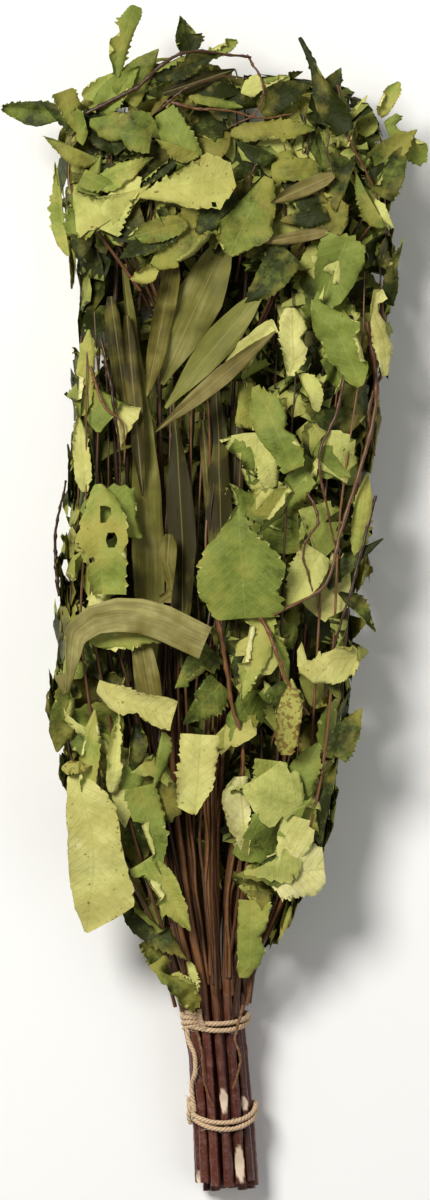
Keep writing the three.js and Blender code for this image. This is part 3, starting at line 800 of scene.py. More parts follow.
# Leaves that lie loose on the front: form, tone, where the held end and the tip lie (millimetres from the
# middle, millimetres from the cut ends), height, and the reach to the left and to the right.
LOOSE_LEAVES = [
    ("cornered", "dark", (-58, 533), (-86, 546), 58, 8, 9),
    ("halved", "olive", (-58, 518), (-85, 529), 60, 8, 7),
    ("strip", "in_shade", (-30, 559), (0, 571), 62, 6, 6),
    ("halved", "in_shade", (-16, 543), (20, 553), 58, 10, 8),
    ("strip", "long_in_shade", (-26, 551), (10, 563), 63, 3.5, 3.5),
    ("cornered", "in_shade", (22, 543), (49, 557), 61, 8, 8),
    ("cornered", "in_shade", (-24, 535), (-6, 551), 57, 7, 7),
    ("squared", "in_shade", (-2, 541), (16, 556), 57, 8, 7),
    ("strip", "olive", (-13, 549), (14, 544), 62, 3, 3),
    ("halved", "in_shade", (26, 551), (44, 562), 58, 6, 6),
    ("cornered", "olive", (-46, 548), (-28, 573), 62, 9, 8),
    ("cornered", "olive", (78, 512), (101, 533), 58, 8, 8),
    ("whole", "dark", (-12, 570), (-17.5, 590), 58, 7, 8),
    ("strip", "green", (-4, 570), (11, 577), 60, 4, 4),
    ("whole", "pale", (13, 551), (36, 560), 64, 6, 5),
    ("cornered", "dark", (52, 536), (63, 564), 60, 9, 9),
    ("halved", "pale", (65, 524), (76, 550), 64, 7, 4),
    ("strip", "fresh", (82, 540), (92, 557), 55, 5, 4),
    ("cornered", "dark", (83, 499), (97, 529), 60, 7, 7),
    ("halved", "fresh", (-73, 470), (-80, 517), 58, 6, 5),
    ("squared", "green", (-12, 517), (-26, 542), 64, 9, 8),
    ("cornered", "green", (-68, 480), (-57, 520), 64, 9, 7),
    ("squared", "pale", (-55, 482), (-42, 511), 66, 7, 8),
    ("halved", "in_shade", (-66, 500), (-42, 518), 60, 8, 7),
    ("cornered", "fresh", (-57, 506), (-30, 519), 65, 5, 6),
    ("strip", "dark", (-16, 520), (-40, 502), 67, 2.5, 3),
    ("cornered", "green", (-66, 510), (-44, 500), 64, 4, 6),
    ("cornered", "olive", (-76, 552), (-68, 530), 61, 7, 6),
    ("strip", "in_shade", (-62, 529), (-36, 522), 60, 4, 5),
    ("cornered", "olive", (-6, 489), (-34, 462), 65, 14, 10),
    ("cornered", "dark", (-20, 487), (-48, 468), 66, 8, 10),
    ("whole", "khaki", (-28, 462), (-42, 458), 68, 6, 5),
    ("strip", "olive", (8, 531), (50, 533), 64, 6, 5),
    ("squared", "olive", (28, 511), (51, 514), 65, 7, 6),
    ("strip", "long_brown", (59, 510), (28, 496), 65, 4.5, 4),
    ("strip", "in_shade", (34, 508), (56, 497), 63, 4, 6),
    ("strip", "long_brown", (56, 482), (24, 476), 65, 3.5, 3),
    ("cornered", "in_shade", (56, 492), (32, 487), 62, 6, 6),
    ("cornered", "dark", (37, 472), (15, 446), 61, 10, 9),
    ("cornered", "green", (66, 478), (50, 436), 65, 12, 12),
    ("halved", "dark", (88, 445), (94, 479), 56, 6, 6),
    ("strip", "pale", (-65, 352), (-68, 391), 60, 5, 4),
    ("strip", "fresh", (-67, 390), (-63, 433), 60, 5, 5),
    ("halved", "dark", (-60, 352), (-63, 382), 55, 7, 6),
    ("halved", "pale", (42, 411), (52, 388), 62, 8, 7),
    ("squared", "khaki", (47, 388), (68, 364), 60, 10, 11),
    ("squared", "pale", (23, 376), (29, 354), 56, 6, 6),
    ("cornered", "pale", (52, 322), (35, 293), 65, 9, 10),
    ("cornered", "green", (51, 366), (21, 331), 64, 6, 8),
    ("strip", "fresh", (71, 320), (76, 361), 60, 5, 5),
    ("halved", "dark", (57, 303), (84, 329), 60, 8, 7),
    ("halved", "dark", (62, 302), (80, 282), 56, 8, 8),
    ("cornered", "fresh", (23, 291), (13, 248), 66, 9, 8),
    ("halved", "green", (27, 281), (37, 252), 67, 6, 8),
    ("strip", "olive", (-72, 257), (-79, 222), 56, 8, 7),
    ("strip", "tan", (35, 221), (38, 259), 67, 6, 7),
    ("strip", "tan", (-76, 214), (-64, 216), 64, 4, 4),
    ("strip", "fresh", (-63, 279), (-18, 284), 66, 7, 7),
    ("strip", "long", (-30, 240), (-38, 284), 58, 7, 6),
    ("cornered", "olive", (-1, 273), (-20, 254), 56, 9, 8),
    ("cornered", "olive", (3, 256), (-16, 236), 52, 10, 8),
    ("halved", "green", (-26, 232), (-31, 202), 58, 6, 7),
    ("halved", "dark", (-40, 236), (-44, 206), 56, 8, 6),
    ("strip", "fresh", (-66, 549), (-44, 561), 60, 5, 5),
    ("cornered", "green", (-57, 543), (-38, 564), 60, 8, 7),
    ("halved", "dark", (-72, 530), (-52, 551), 60, 8, 6),
    ("halved", "dark", (-50, 520), (-30, 536), 67, 9, 5),
    ("halved", "olive", (-8, 520), (-30, 528), 68, 7, 5),
    ("strip", "olive", (-14, 486), (-44, 478), 68, 6, 6),
    ("strip", "dark", (10, 500), (-10, 480), 66, 6, 7),
    ("halved", "dark", (30, 520), (10, 528), 66, 8, 5),
    ("halved", "olive", (84, 484), (70, 512), 62, 8, 6),
    ("halved", "dark", (60, 492), (72, 522), 63, 8, 6),
    ("cornered", "dark", (60, 220), (73, 244), 58, 7, 7),
    ("cornered", "fresh", (28, 218), (24, 187), 58, 10, 9),
    ("cornered", "khaki", (36, 206), (52, 180), 56, 7, 7),
    ("cornered", "green", (40, 203), (53, 228), 58, 8, 8),
    ("halved", "dark", (53, 176), (61, 221), 52, 8, 7),
    ("strip", "fresh", (-65, 202), (-60, 243), 62, 5, 5),
    ("strip", "pale", (-52, 202), (-48, 241), 60, 4, 5),
    ("cornered", "green", (-37, 205), (-27, 161), 56, 9, 9),
    ("cornered", "fresh", (-35, 168), (-12, 133), 54, 8, 10),
    ("whole", "dark", (-46, 146), (-14, 118), 45, 8, 8),
    ("strip", "long_in_shade", (-17, 375), (-15, 300), 46, 3, 3),
    ("strip", "long_in_shade", (12, 400), (6, 300), 43, 5, 4),
    ("strip", "long_dark", (-6, 388), (-2, 330), 44, 2.5, 2.5),
    ("strip", "long_dark", (-44, 440), (-36, 350), 52, 4, 4),
    ("strip", "long", (-20, 470), (-34, 400), 55, 6, 5),
    ("strip", "long_in_shade", (-3, 470), (-14, 392), 50, 5, 6),
    ("strip", "long_dark", (-52, 450), (-44, 390), 50, 4, 5),
    ("halved", "pale", (-14, 117), (-9, 97), 40, 4, 4),
    ("strip", "fresh", (-22, 110), (-8, 104), 41, 4, 3),
    ("cornered", "dark", (-34, 128), (-22, 108), 38, 5, 6),
]
# Side twigs in front: points across, from the cut ends and up, in millimetres, and the radius.
SIDE_TWIGS = [
    ([(76, 437, 62), (81, 401, 62), (74, 368, 64), (62, 331, 67), (54, 305, 70), (29, 291, 72)], 1.0),
    ([(66, 420, 63), (60, 392, 65), (52, 371, 67), (57, 340, 67), (62, 320, 67)], 0.7),
    ([(83, 448, 58), (85, 420, 58), (77, 395, 61), (80, 372, 60)], 0.8),
    ([(-57, 428, 60), (-52, 401, 63), (-48, 381, 62), (-47, 357, 58)], 0.7),
    ([(-62, 415, 60), (-55, 395, 64), (-46, 386, 63), (-45, 366, 58)], 0.6),
    ([(-64, 541, 62), (-45, 551, 65), (-37, 556, 66), (-29, 564, 66), (-17, 571, 66), (-5, 572, 65),
      (18, 569, 63)], 0.9),
    ([(-25, 547, 62), (-8, 543, 64), (8, 542, 64), (24, 538, 63), (38, 540, 62)], 0.6),
    ([(16, 570, 61), (22, 560, 64), (23.5, 551, 65), (20, 541, 64), (6, 533, 62)], 0.5),
    ([(-30, 541, 62), (-14, 554, 64), (6, 559, 63), (26, 555, 62)], 0.5),
    ([(20, 294, 68), (27, 282, 70), (32, 268, 70), (38, 255, 66), (47, 243, 62)], 0.9),
    ([(-2, 300, 62), (3, 280, 60), (8, 250, 58), (14, 225, 54), (12, 190, 48)], 1.0),
    ([(46, 352, 66), (52, 338, 69), (44, 322, 69), (49, 300, 68)], 0.6),
    ([(80, 350, 58), (70, 312, 62), (60, 280, 62), (54, 250, 60)], 0.7),
    ([(61, 555, 60), (66, 530, 64), (78, 505, 62), (86, 480, 58)], 0.7),
    ([(-78, 300, 40), (-80, 330, 42), (-74, 360, 46)], 0.8),
    ([(-9, 82, 33), (-6.5, 70, 33.5), (-6, 57, 32), (-1.5, 44, 31)], 0.5),
    ([(14, 95, 34), (10, 78, 34), (13, 66, 33.5), (9, 52, 32)], 0.6),
]


def window_stalks(rng):
    """Fine, nearly straight stalks that stand among the stems in the open stretch."""
    stalks = []
    for x in np.linspace(-40, 16, 15):
        low, high = rng.uniform(225, 300), rng.uniform(360, 450)
        points = [
            (x + rng.normal(0, 1.5) + 0.03 * (y - 340), y + CUT_ENDS, rng.uniform(38, 49))
            for y in np.linspace(low, high, 5)
        ]
        stalks.append(through(points, 40))
    return stalks


def fine_twigs(rng, number=34):
    """Fine twigs that lie on the stems just above the grip and follow them up."""
    twigs = []
    lines = [stem_line(name) for name in nodes_named("birch_stem")]
    lines = [line for line in lines if np.interp(CUT_ENDS + 150, line[:, 1], line[:, 2]) > 22]
    for k in range(number):
        line = lines[k % len(lines)]
        y = CUT_ENDS + np.linspace(rng.uniform(97, 112), rng.uniform(190, 262), 7)
        x, z, radius = (np.interp(y, line[:, 1], line[:, column]) for column in (0, 2, 3))
        x = x + rng.normal(0, 1.6) + np.cumsum(rng.normal(0, 0.9, 7))
        twigs.append(through(np.column_stack([x, y, z + 0.8 * radius + rng.uniform(0.3, 2.2)]), 44))
    return twigs


def nearest_spray(x, y):
    """The spray in front whose space a place lies in or next to."""
    fronts = [name for name in SPRAYS if not name.startswith("under")]
    gaps = []
    for name in fronts:
        region = REGIONS[name]
        left, right = (np.interp(y, region.y, side[:, 0]) for side in (region.low, region.high))
        beyond = max(region.y[0] - y, 0, y - region.y[-1])
        gaps.append(max(left - x, 0, x - right) + beyond)
    return fronts[int(np.argmin(gaps))]


def loose_rows(form, held, tip, height, left, right, rng):
    """Rows of left, middle and right points of a loose leaf."""
    start = np.array([held[0], held[1] + CUT_ENDS, height + rng.uniform(-2, 2)])
    end = np.array([tip[0], tip[1] + CUT_ENDS, height + rng.uniform(-4, 1)])
    shares = np.linspace(0, 1, 14)
    reach = [np.interp(shares, [row[0] for row in form], [row[k] for row in form]) for k in (1, 2)]
    middle = start + shares[:, None] * (end - start)
    middle[:, 2] += rng.uniform(-1, 4) * np.sin(np.pi * shares)
    across = unit(np.cross(end - start, (rng.normal(0, 0.15), rng.normal(0, 0.15), 1)))
    fold = np.array([0, 0, rng.uniform(0.02, 0.35)])
    edges = [
        middle + side * across * (far * share)[:, None] + fold * (far * share)[:, None]
        for side, far, share in ((-1, left, reach[0]), (1, right, reach[1]))
    ]
    return np.stack([edges[0], middle, edges[1]], 1)


def add_loose_leaves(pieces, name, settings, rng):
    for form, tone, held, tip, height, left, right in LOOSE_LEAVES:
        if nearest_spray((held[0] + tip[0]) / 2, (held[1] + tip[1]) / 2 + CUT_ENDS) != name:
            continue
        side, tint, age = TONES[tone]
        birch = side != LONG_SLOT
        rows = loose_rows(FORMS[form], held, tip, height, left, right, rng)
        points, place = laid_blade(rows, rng, 0.8 if birch else 0, rng.uniform(1, 2.4), turned=birch)
        growth = (tint + rng.uniform(-0.05, 0.05), age + rng.uniform(-0.2, 0.2), 0)
        growth = np.broadcast_to(growth, points.shape)
        skins = np.array([side])
        add_leaves(pieces, points[None], place[None], growth[None], settings.thickness / MM, skins)


def add_side_twigs(pieces, name, rng):
    """The twigs in front in a spray, knotty with buds. One spray has the fine twigs among the stems too."""
    if name == "inner_right_spray":
        add_tubes(pieces, window_stalks(rng), np.linspace(0.8, 0.5, 40), 6, rng)
        add_tubes(pieces, fine_twigs(rng), np.linspace(1.0, 0.7, 44), 6, rng)
    for line, radius in SIDE_TWIGS:
        points = np.array(line, float) + [0, CUT_ENDS, 0]
        if nearest_spray(*points[len(points) // 2, :2]) == name:
            path = through(points, 60)
            path += np.cumsum(rng.normal(0, 0.13, path.shape), axis=0)
            buds = np.cumsum(rng.uniform(4, 9, 12))
            swelling = sum(np.exp(-((np.arange(60) - bud) ** 2)) for bud in buds)
            knotty = 1.25 * radius * np.linspace(1, 0.5, 60) * (1 + 0.5 * swelling)
            add_tubes(pieces, [path], knotty, 7, rng)


# ---------------------------------------------------------------- materials
def once(maker):
    """Lets a material's function make it the first time only. A material has the name of its function."""

    def found_or_made(settings):
        return bpy.data.materials.get(maker.__name__) or maker(maker.__name__, settings)

    return found_or_made


def new_material(name):
    material = bpy.data.materials.new(name)
    material.use_nodes = True
    material.node_tree.nodes.clear()
    return material, material.node_tree


def put(tree, kind, settings=None, links=None):
    """Adds a node. settings go to its own properties or its inputs. links join its inputs to outputs, or to
    another node's result, which is the first output that node has in use."""
    node = tree.nodes.new("ShaderNode" + kind)
    for name, value in (settings or {}).items():
        if name == "stops":
            ramp = node.color_ramp.elements
            while len(ramp) < len(value):
                ramp.new(1)
            for stop, (position, colour) in zip(ramp, value):
                stop.position = position
                stop.color = (*colour, 1)
        elif isinstance(name, str) and hasattr(node, name):
            setattr(node, name, value)
        else:
            node.inputs[name].default_value = value
    for name, source in (links or {}).items():
        if isinstance(source, bpy.types.Node):
            source = next(output for output in source.outputs if output.enabled)
        tree.links.new(source, node.inputs[name])
    return node


def span(from_min, from_max, to_min=0, to_max=1, smooth=False):
    """Settings that turn one range of values into another."""
    ends = {"From Min": from_min, "From Max": from_max, "To Min": to_min, "To Max": to_max}
    return {"interpolation_type": "SMOOTHSTEP" if smooth else "LINEAR", **ends}


def lay_over(tree, base, layers):
    """Lays colours over a base one after another. Each layer is a colour and the share of it that shows."""
    for colour, share in layers:
        base = put(tree, "Mix", {"data_type": "RGBA", 7: (*colour, 1)}, {0: share, 6: base})
    return base


def finish_surface(tree, colour, roughness, height, bump_distance, specular=0.35):
    bump = put(tree, "Bump", {"Strength": 0.6, "Distance": bump_distance}, {"Height": height})
    links = {"Base Color": colour, "Roughness": roughness, "Normal": bump}
    shader = put(tree, "BsdfPrincipled", {"Specular IOR Level": specular}, links)
    put(tree, "OutputMaterial", {}, {"Surface": shader})


def marks(tree):
    """The marks on a mesh. A leaf's place is how far across and along it is in millimetres, and its share
    across, and its growth mark is how light it is, with painted shade in it, and how far it has browned. On
    bark the growth mark's second value is mostly painted shade, and on twine its third paints shade in the
    lay and a highlight on the crests."""
    found = []
    for mark in ("place", "growth"):
        vector = put(tree, "Attribute", {"attribute_name": mark}).outputs["Vector"]
        found.append(put(tree, "SeparateXYZ", {}, {0: vector}).outputs)
    return found


def streaks_along(tree, place, stretch, noise):
    """Noise drawn out along a piece. stretch is how fast it changes across and along."""
    flat = put(tree, "CombineXYZ", {}, {0: place[0], 1: place[1]})
    drawn = put(tree, "Mapping", {"Scale": (*stretch, 1)}, {"Vector": flat})
    return put(tree, "TexNoise", noise, {"Vector": drawn})


def leaf_veins(tree, place, spacing, slope):
    """Highest on the midrib and on the side veins that leave it at a slope, some millimetres apart."""
    off = put(tree, "Math", {"operation": "ABSOLUTE"}, {0: place[0]})
    lean = put(tree, "Math", {"operation": "MULTIPLY", 1: slope}, {0: off})
    run = put(tree, "Math", {"operation": "SUBTRACT"}, {0: place[1], 1: lean})
    wave = put(tree, "Math", {"operation": "PINGPONG", 1: spacing / 2}, {0: run})
    side = put(tree, "MapRange", span(0, spacing * 0.16, 0.75, 0, smooth=True), {"Value": wave})
    rib = put(tree, "MapRange", span(0.25, 0.8, 1, 0, smooth=True), {"Value": off})
    return put(tree, "Math", {"operation": "MAXIMUM"}, {0: side, 1: rib})


def leaf_surface(name, ramp_stops, vein_colour, vein_share, yellowed, brown, roughness):
    """A dried leaf's skin. Its colour goes by the leaf, with cloudy patches, lighter veins, brown specks and
    a brown margin. The veins stand in fine relief on skin that has shrunk to a fine grain."""
    material, tree = new_material(name)
    place, growth = marks(tree)
    spot = put(tree, "TexCoord").outputs["Object"]
    cloud = put(tree, "TexNoise", {"Scale": 46, "Detail": 8, "Roughness": 0.72}, {"Vector": spot})
    shift = put(tree, "MapRange", span(0.3, 0.7, -0.3, 0.34), {"Value": cloud})
    tone = put(tree, "Math", {"operation": "ADD", "use_clamp": True}, {0: growth[0], 1: shift})
    ramp = put(tree, "ValToRGB", {"stops": ramp_stops}, {0: tone})
    veins = leaf_veins(tree, place, 4.6, 0.8)
    share = put(tree, "Math", {"operation": "MULTIPLY", 1: vein_share}, {0: veins})
    share = put(tree, "Math", {"operation": "MULTIPLY"}, {0: share, 1: tone})
    patch = put(tree, "TexNoise", {"Scale": 48, "Detail": 5, "Roughness": 0.6}, {"Vector": spot})
    patch = put(tree, "Math", {"operation": "MULTIPLY_ADD", 1: 0.24}, {0: growth[1], 2: patch})
    patch = put(tree, "MapRange", span(0.6, 0.78, 0, 0.6), {"Value": patch})
    speck = put(tree, "TexNoise", {"Scale": 420, "Detail": 2}, {"Vector": spot})
    edge = put(tree, "Math", {"operation": "ABSOLUTE"}, {0: place[2]})
    edge = put(tree, "MapRange", span(0.75, 1, 0, 0.1), {"Value": edge})
    aged = put(tree, "Math", {"operation": "MULTIPLY_ADD", 1: 0.1}, {0: growth[1], 2: edge})
    browned = put(tree, "Math", {"operation": "ADD"}, {0: speck, 1: aged})
    browned = put(tree, "MapRange", span(0.76, 0.84, 0, 0.75, smooth=True), {"Value": browned})
    colour = lay_over(tree, ramp, [(vein_colour, share), (yellowed, patch), (brown, browned)])
    grain = put(tree, "TexNoise", {"Scale": 220, "Detail": 5}, {"Vector": spot})
    height = put(tree, "Math", {"operation": "MULTIPLY_ADD", 1: 0.11}, {0: veins, 2: grain})
    rough = put(tree, "MapRange", span(0.3, 0.7, roughness - 0.08, roughness + 0.1), {"Value": cloud})
    finish_surface(tree, colour, rough, height, 1.6 * MM, specular=0.13)
    return material


# Dried birch leaf, upper side: thin skin with a dull wax bloom, olive to yellow green, with a low gloss.
@once
def dried_birch_leaf_upper(name, settings):
    stops = [
        # The first, darkest stop is painted shade for leaves in the crevices of the head.
        (0.0, linear("#2a300f")),
        (0.1, settings.shaded_green),
        (0.36, settings.green),
        (0.8, settings.fresh_green),
        (1.0, linear("#aba653")),
    ]
    return leaf_surface(name, stops, linear("#a9ab62"), 0.34, linear("#9f9444"), settings.brown, 0.55)


# Dried birch leaf, underside: no bloom and raised veins, much paler and fully matte.
@once
def dried_birch_leaf_underside(name, settings):
    stops = [
        (0.0, linear("#838a3e")),
        (0.4, settings.pale),
        (0.8, linear("#d2cd80")),
        (1.0, linear("#ddd796")),
    ]
    return leaf_surface(name, stops, linear("#a3a352"), 0.4, linear("#a9a052"), settings.brown, 0.72)


# Dried eucalyptus leaf: leathery skin with a wax coat gone khaki, so a soft gloss, with a pale midrib and
# streaks along it where it has shrunk. The least aged are greener, and the most aged browner.
@once
def dried_eucalyptus_leaf(name, settings):
    material, tree = new_material(name)
    place, growth = marks(tree)
    spot = put(tree, "TexCoord").outputs["Object"]
    cloud = put(tree, "TexNoise", {"Scale": 60, "Detail": 4}, {"Vector": spot})
    flat = put(tree, "CombineXYZ", {}, {0: place[0], 1: place[1], 2: growth[1]})
    drawn = put(tree, "Mapping", {"Scale": (0.5, 0.03, 20)}, {"Vector": flat})
    streaks = put(tree, "TexNoise", {"Scale": 1.3, "Detail": 5}, {"Vector": drawn})
    mixed = put(tree, "Math", {"operation": "MULTIPLY_ADD", 1: 0.45}, {0: streaks, 2: cloud})
    shift = put(tree, "MapRange", span(0.5, 0.95, -0.36, 0.36), {"Value": mixed})
    tone = put(tree, "Math", {"operation": "ADD", "use_clamp": True}, {0: growth[0], 1: shift})
    # The darkest stop, shaded olive, is painted shade, reached mostly by the long leaves in the open stretch.
    stops = [(0.0, settings.shaded), (0.45, settings.olive), (0.8, settings.khaki), (1.0, settings.rib)]
    ramp = put(tree, "ValToRGB", {"stops": stops}, {0: tone})
    greener = put(tree, "MapRange", span(0, 0.4, 0.55, 0), {"Value": growth[1]})
    browner = put(tree, "MapRange", span(1, 0.5, 0.4, 0), {"Value": growth[1]})
    off = put(tree, "Math", {"operation": "ABSOLUTE"}, {0: place[0]})
    rib = put(tree, "MapRange", span(0.1, 0.5, 0.3, 0, smooth=True), {"Value": off})
    layers = [(linear("#8b9145"), greener), (linear("#8a7450"), browner), (settings.rib, rib)]
    colour = lay_over(tree, ramp, layers)
    rough = put(tree, "MapRange", span(0, 1, 0.5, 0.72), {"Value": cloud})
    height = put(tree, "Math", {"operation": "ADD"}, {0: streaks, 1: rib})
    finish_surface(tree, colour, rough, height, 0.5 * MM, specular=0.15)
    return material


# Birch twig bark: smooth and thin, with a grey film that wears off, darker and redder on older wood, and
# short pale pores across it. Its second mark paints it near black as painted shade among the leaves, together
# with dark streaks along it. Where place's third mark is 1, it is sliced away down to the wood.
@once
def birch_twig_bark(name, settings):
    material, tree = new_material(name)
    place, growth = marks(tree)
    spot = put(tree, "TexCoord").outputs["Object"]
    blotch = put(tree, "TexNoise", {"Scale": 120, "Detail": 4}, {"Vector": spot})
    age = put(tree, "Math", {"operation": "MULTIPLY_ADD", 1: 0.5, 2: -0.25}, {0: blotch})
    age = put(tree, "Math", {"operation": "ADD", "use_clamp": True}, {0: growth[2], 1: age})
    barks = {6: (*settings.old_bark, 1), 7: (*settings.young_bark, 1)}
    bark = put(tree, "Mix", {"data_type": "RGBA", **barks}, {0: age})
    film = put(tree, "TexNoise", {"Scale": 260, "Detail": 5, "Roughness": 0.7}, {"Vector": spot})
    film = put(tree, "MapRange", span(0.5, 0.66, 0, 0.5), {"Value": film})
    stretched = put(tree, "Mapping", {"Scale": (1, 3.5, 1)}, {"Vector": spot})
    pores = put(tree, "TexVoronoi", {"Scale": 330}, {"Vector": stretched})
    pores = put(tree, "MapRange", span(0.12, 0.2, 0.6, 0, smooth=True), {"Value": pores})
    streaks = streaks_along(tree, place, (0.8, 0.05), {"Scale": 1.6, "Detail": 3})
    # Painted shade with dark streaks: the second mark, mostly painted shade, and streaks along the bark lay a
    # near black colour over it.
    shade_and_dark_streaks = put(tree, "Math", {"operation": "MULTIPLY_ADD", 1: 0.8}, {0: growth[1], 2: streaks})
    shade_and_dark_streaks = put(tree, "MapRange", span(0.5, 1.1, 0, 0.85), {"Value": shade_and_dark_streaks})
    layers = [
        (settings.bark_film, film),
        (linear("#a98b72"), pores),
        (linear("#20140e"), shade_and_dark_streaks),
        (settings.cut_wood, place[2]),
    ]
    colour = lay_over(tree, bark, layers)
    height = put(tree, "Math", {"operation": "ADD"}, {0: blotch, 1: pores})
    rough = put(tree, "MapRange", span(0, 1, 0.34, 0.7), {"Value": film})
    finish_surface(tree, colour, rough, height, 0.4 * MM)
    return material


# Fresh cut birch wood: pale, dry and matte, with a fine grain.
@once
def cut_birch_wood(name, settings):
    material, tree = new_material(name)
    spot = put(tree, "TexCoord").outputs["Object"]
    grain = put(tree, "Mapping", {"Scale": (1, 0.15, 1)}, {"Vector": spot})
    fibre = put(tree, "TexNoise", {"Scale": 900, "Detail": 4}, {"Vector": grain})
    stops = [(0.3, linear("#9a7858")), (0.62, settings.cut_wood)]
    colour = put(tree, "ValToRGB", {"stops": stops}, {0: fibre})
    rough = put(tree, "MapRange", span(0, 1, 0.7, 0.9), {"Value": fibre})
    finish_surface(tree, colour, rough, fibre, 0.2 * MM, specular=0.2)
    return material


# Jute twine: bast fibres spun into strands and twisted, hairy and matte, with straw and brown side by side,
# painted darker in the lay between the strands as painted shade and lighter on their crests as a painted
# highlight.
@once
def spun_jute(name, settings):
    material, tree = new_material(name)
    place, growth = marks(tree)
    fibre = streaks_along(tree, place, (1.6, 0.22), {"Scale": 2.4, "Detail": 5})
    tone = put(tree, "Math", {"operation": "MULTIPLY_ADD", 1: 0.35}, {0: growth[2], 2: fibre})
    # Painted shade and highlight: the lowest stop shows in the lay between the strands and the highest on
    # their crests.
    stops = [(0.25, settings.shaded_fibre), (0.55, settings.fibre), (0.85, linear("#e8d5b8"))]
    colour = put(tree, "ValToRGB", {"stops": stops}, {0: tone})
    rough = put(tree, "MapRange", span(0, 1, 0.8, 0.95), {"Value": fibre})
    finish_surface(tree, colour, rough, fibre, 0.3 * MM, specular=0.15)
    return material


@once
def pale_floor(name, settings):
    material, tree = new_material(name)
    shader = put(tree, "BsdfPrincipled", {"Base Color": (*settings.floor, 1), "Roughness": 0.9})
    put(tree, "OutputMaterial", {}, {"Surface": shader})
    return material


# ---------------------------------------------------------------- stems
# Where bark is sliced off: stem number, middle of the slice from the bundle's cut ends, its length, and its
# depth as a share of the radius.
SLICES = {2: (45, 7, 0.5), 3: (15, 19, 0.9), 4: (47, 12, 0.7), 7: (8, 7, 0.8)}


def barked_stem(name, settings):
    """A stem with the slight kinks and swellings of its buds, and a pale cut end."""
    rng = seeded(name)
    line = stem_line(name)
    sides = 16
    fine = through(line, 400)
    walked = distances(fine[:, :3])
    kept = np.r_[np.linspace(0, 80, 60), np.linspace(80, walked[-1], 90)[1:]]
    fine = sampled(kept, walked, fine)
    walked = kept
    bud_places = np.cumsum(rng.uniform(24, 46, 20))
    kink = rng.normal(0, settings.kink / MM, (len(bud_places), 2))
    calm = np.interp(walked, [60, 140], [0.5, 1])
    fine[:, 0] += calm * np.interp(walked, bud_places, kink[:, 0])
    fine[:, 2] += calm * np.interp(walked, bud_places, kink[:, 1])
    swelling = sum(np.exp(-(((walked - bud) / 2.5) ** 2)) for bud in bud_places)
    radius = fine[:, 3] * (0.96 + 0.16 * swelling)
    radius = radius * (1 + 0.06 * np.sin(walked / 9 + rng.uniform(0, 6)))
    grid = tube(fine[:, :3], radius, sides)
    angle = np.linspace(0, 2 * np.pi, sides, endpoint=False)
    flute = 0.07 * np.cos(2 * angle + rng.uniform(0, 6)) + 0.05 * np.cos(5 * angle + walked[:, None] / 20)
    grid += (grid - fine[:, None, :3]) * flute[..., None] + 0.05 * rng.normal(0, 1, grid.shape)
    number = int(name[-2:])
    bared = np.zeros(grid.shape[:2])
    if number in SLICES:
        middle, long, depth = SLICES[number]
        off = np.abs(fine[:, 1] - CUT_ENDS - middle) / (long / 2)
        within = off < 1
        limit = fine[:, 2] + radius * (1 - depth * np.clip(1 - off, 0, 1))
        limit = np.where(within, limit, 1e3)[:, None]
        bared = np.clip((grid[..., 2] - limit) / 0.2, 0, 1)
        grid[..., 2] = np.minimum(grid[..., 2], limit)
    share = (walked / walked[-1])[:, None]
    tinge = np.interp(walked, [75, 115], [0.05, 0.95])[:, None] * rng.uniform(0.8, 1)
    # Painted shade: the bark is painted a little darker in the grip and much darker up in the head, where the
    # leaves shade it, with a random tone per stem on top.
    shade = np.interp(walked, [80, 110, 190, 250], [0.2, 0, 0.1, 0.9])[:, None] + rng.uniform(-0.3, 0.45)
    place = np.stack(np.broadcast_arrays(np.linspace(0, 12, sides), share * 500, bared), -1)
    growth = np.stack(np.broadcast_arrays(rng.random(), np.clip(shade, 0, 1), tinge), -1)
    growth = np.broadcast_to(growth, grid.shape)
    pieces = Pieces()
    pieces.add(grid[None], 0, place[None], growth[None], wrap=True)
    centre = grid[0].mean(0)
    disc = centre + (grid[0] - centre) * np.array([0, 0.5, 0.97, 1])[:, None, None]
    pieces.add(disc[None], 1, 0.0, 0.5, wrap=True)
    return pieces.join(f"{name}_bark", [birch_twig_bark(settings), cut_birch_wood(settings)])


# ---------------------------------------------------------------- twine
# How far in from the twine's ends along Y its two ties are, in millimetres, and the angle they start at.
UPPER_TIE_IN, LOWER_TIE_IN = 2.9, 14.4
TIE_START = 148


class Grip:
    """The girth of the bound stems along Y."""

    def __init__(self):
        lines = [stem_line(name) for name in nodes_named("birch_stem", "eucalyptus_stem")]
        self.y = np.linspace(-292, -150, 40)
        spots = np.array([[np.interp(self.y, line[:, 1], line[:, k]) for k in (0, 2, 3)] for line in lines])
        x, z, radius = spots[:, 0], spots[:, 1], spots[:, 2]
        self.centre = np.array([(x.max(0) + x.min(0)) / 2, (z.max(0) + z.min(0)) / 2])
        self.half = np.array([np.ptp(x, axis=0) / 2, np.ptp(z, axis=0) / 2]) + radius.mean(0)

    def round(self, angle, y, clear):
        """The point at an angle, 0 at the right and 90 on top, clear of the stems by some millimetres."""
        cx, cz = (np.interp(y, self.y, row) for row in self.centre)
        rx, rz = (np.interp(y, self.y, row) + clear for row in self.half)
        return np.stack([cx + rx * np.cos(np.radians(angle)), y, cz + rz * np.sin(np.radians(angle))], -1)


def tie_turns(grip, y, sag, start_angle, radius):
    """Two turns side by side round the grip, lower in front by sag."""
    turns = np.linspace(0, 2, 61)
    angle = start_angle + 360 * turns
    drop = sag * np.maximum(0, np.sin(np.radians(angle)))
    uneven = 0.5 * np.sin(np.radians(angle * 1.7 + 40))
    return grip.round(angle, y - (2 * radius + 0.2) * (turns - 1) - drop + uneven, radius + 0.2)


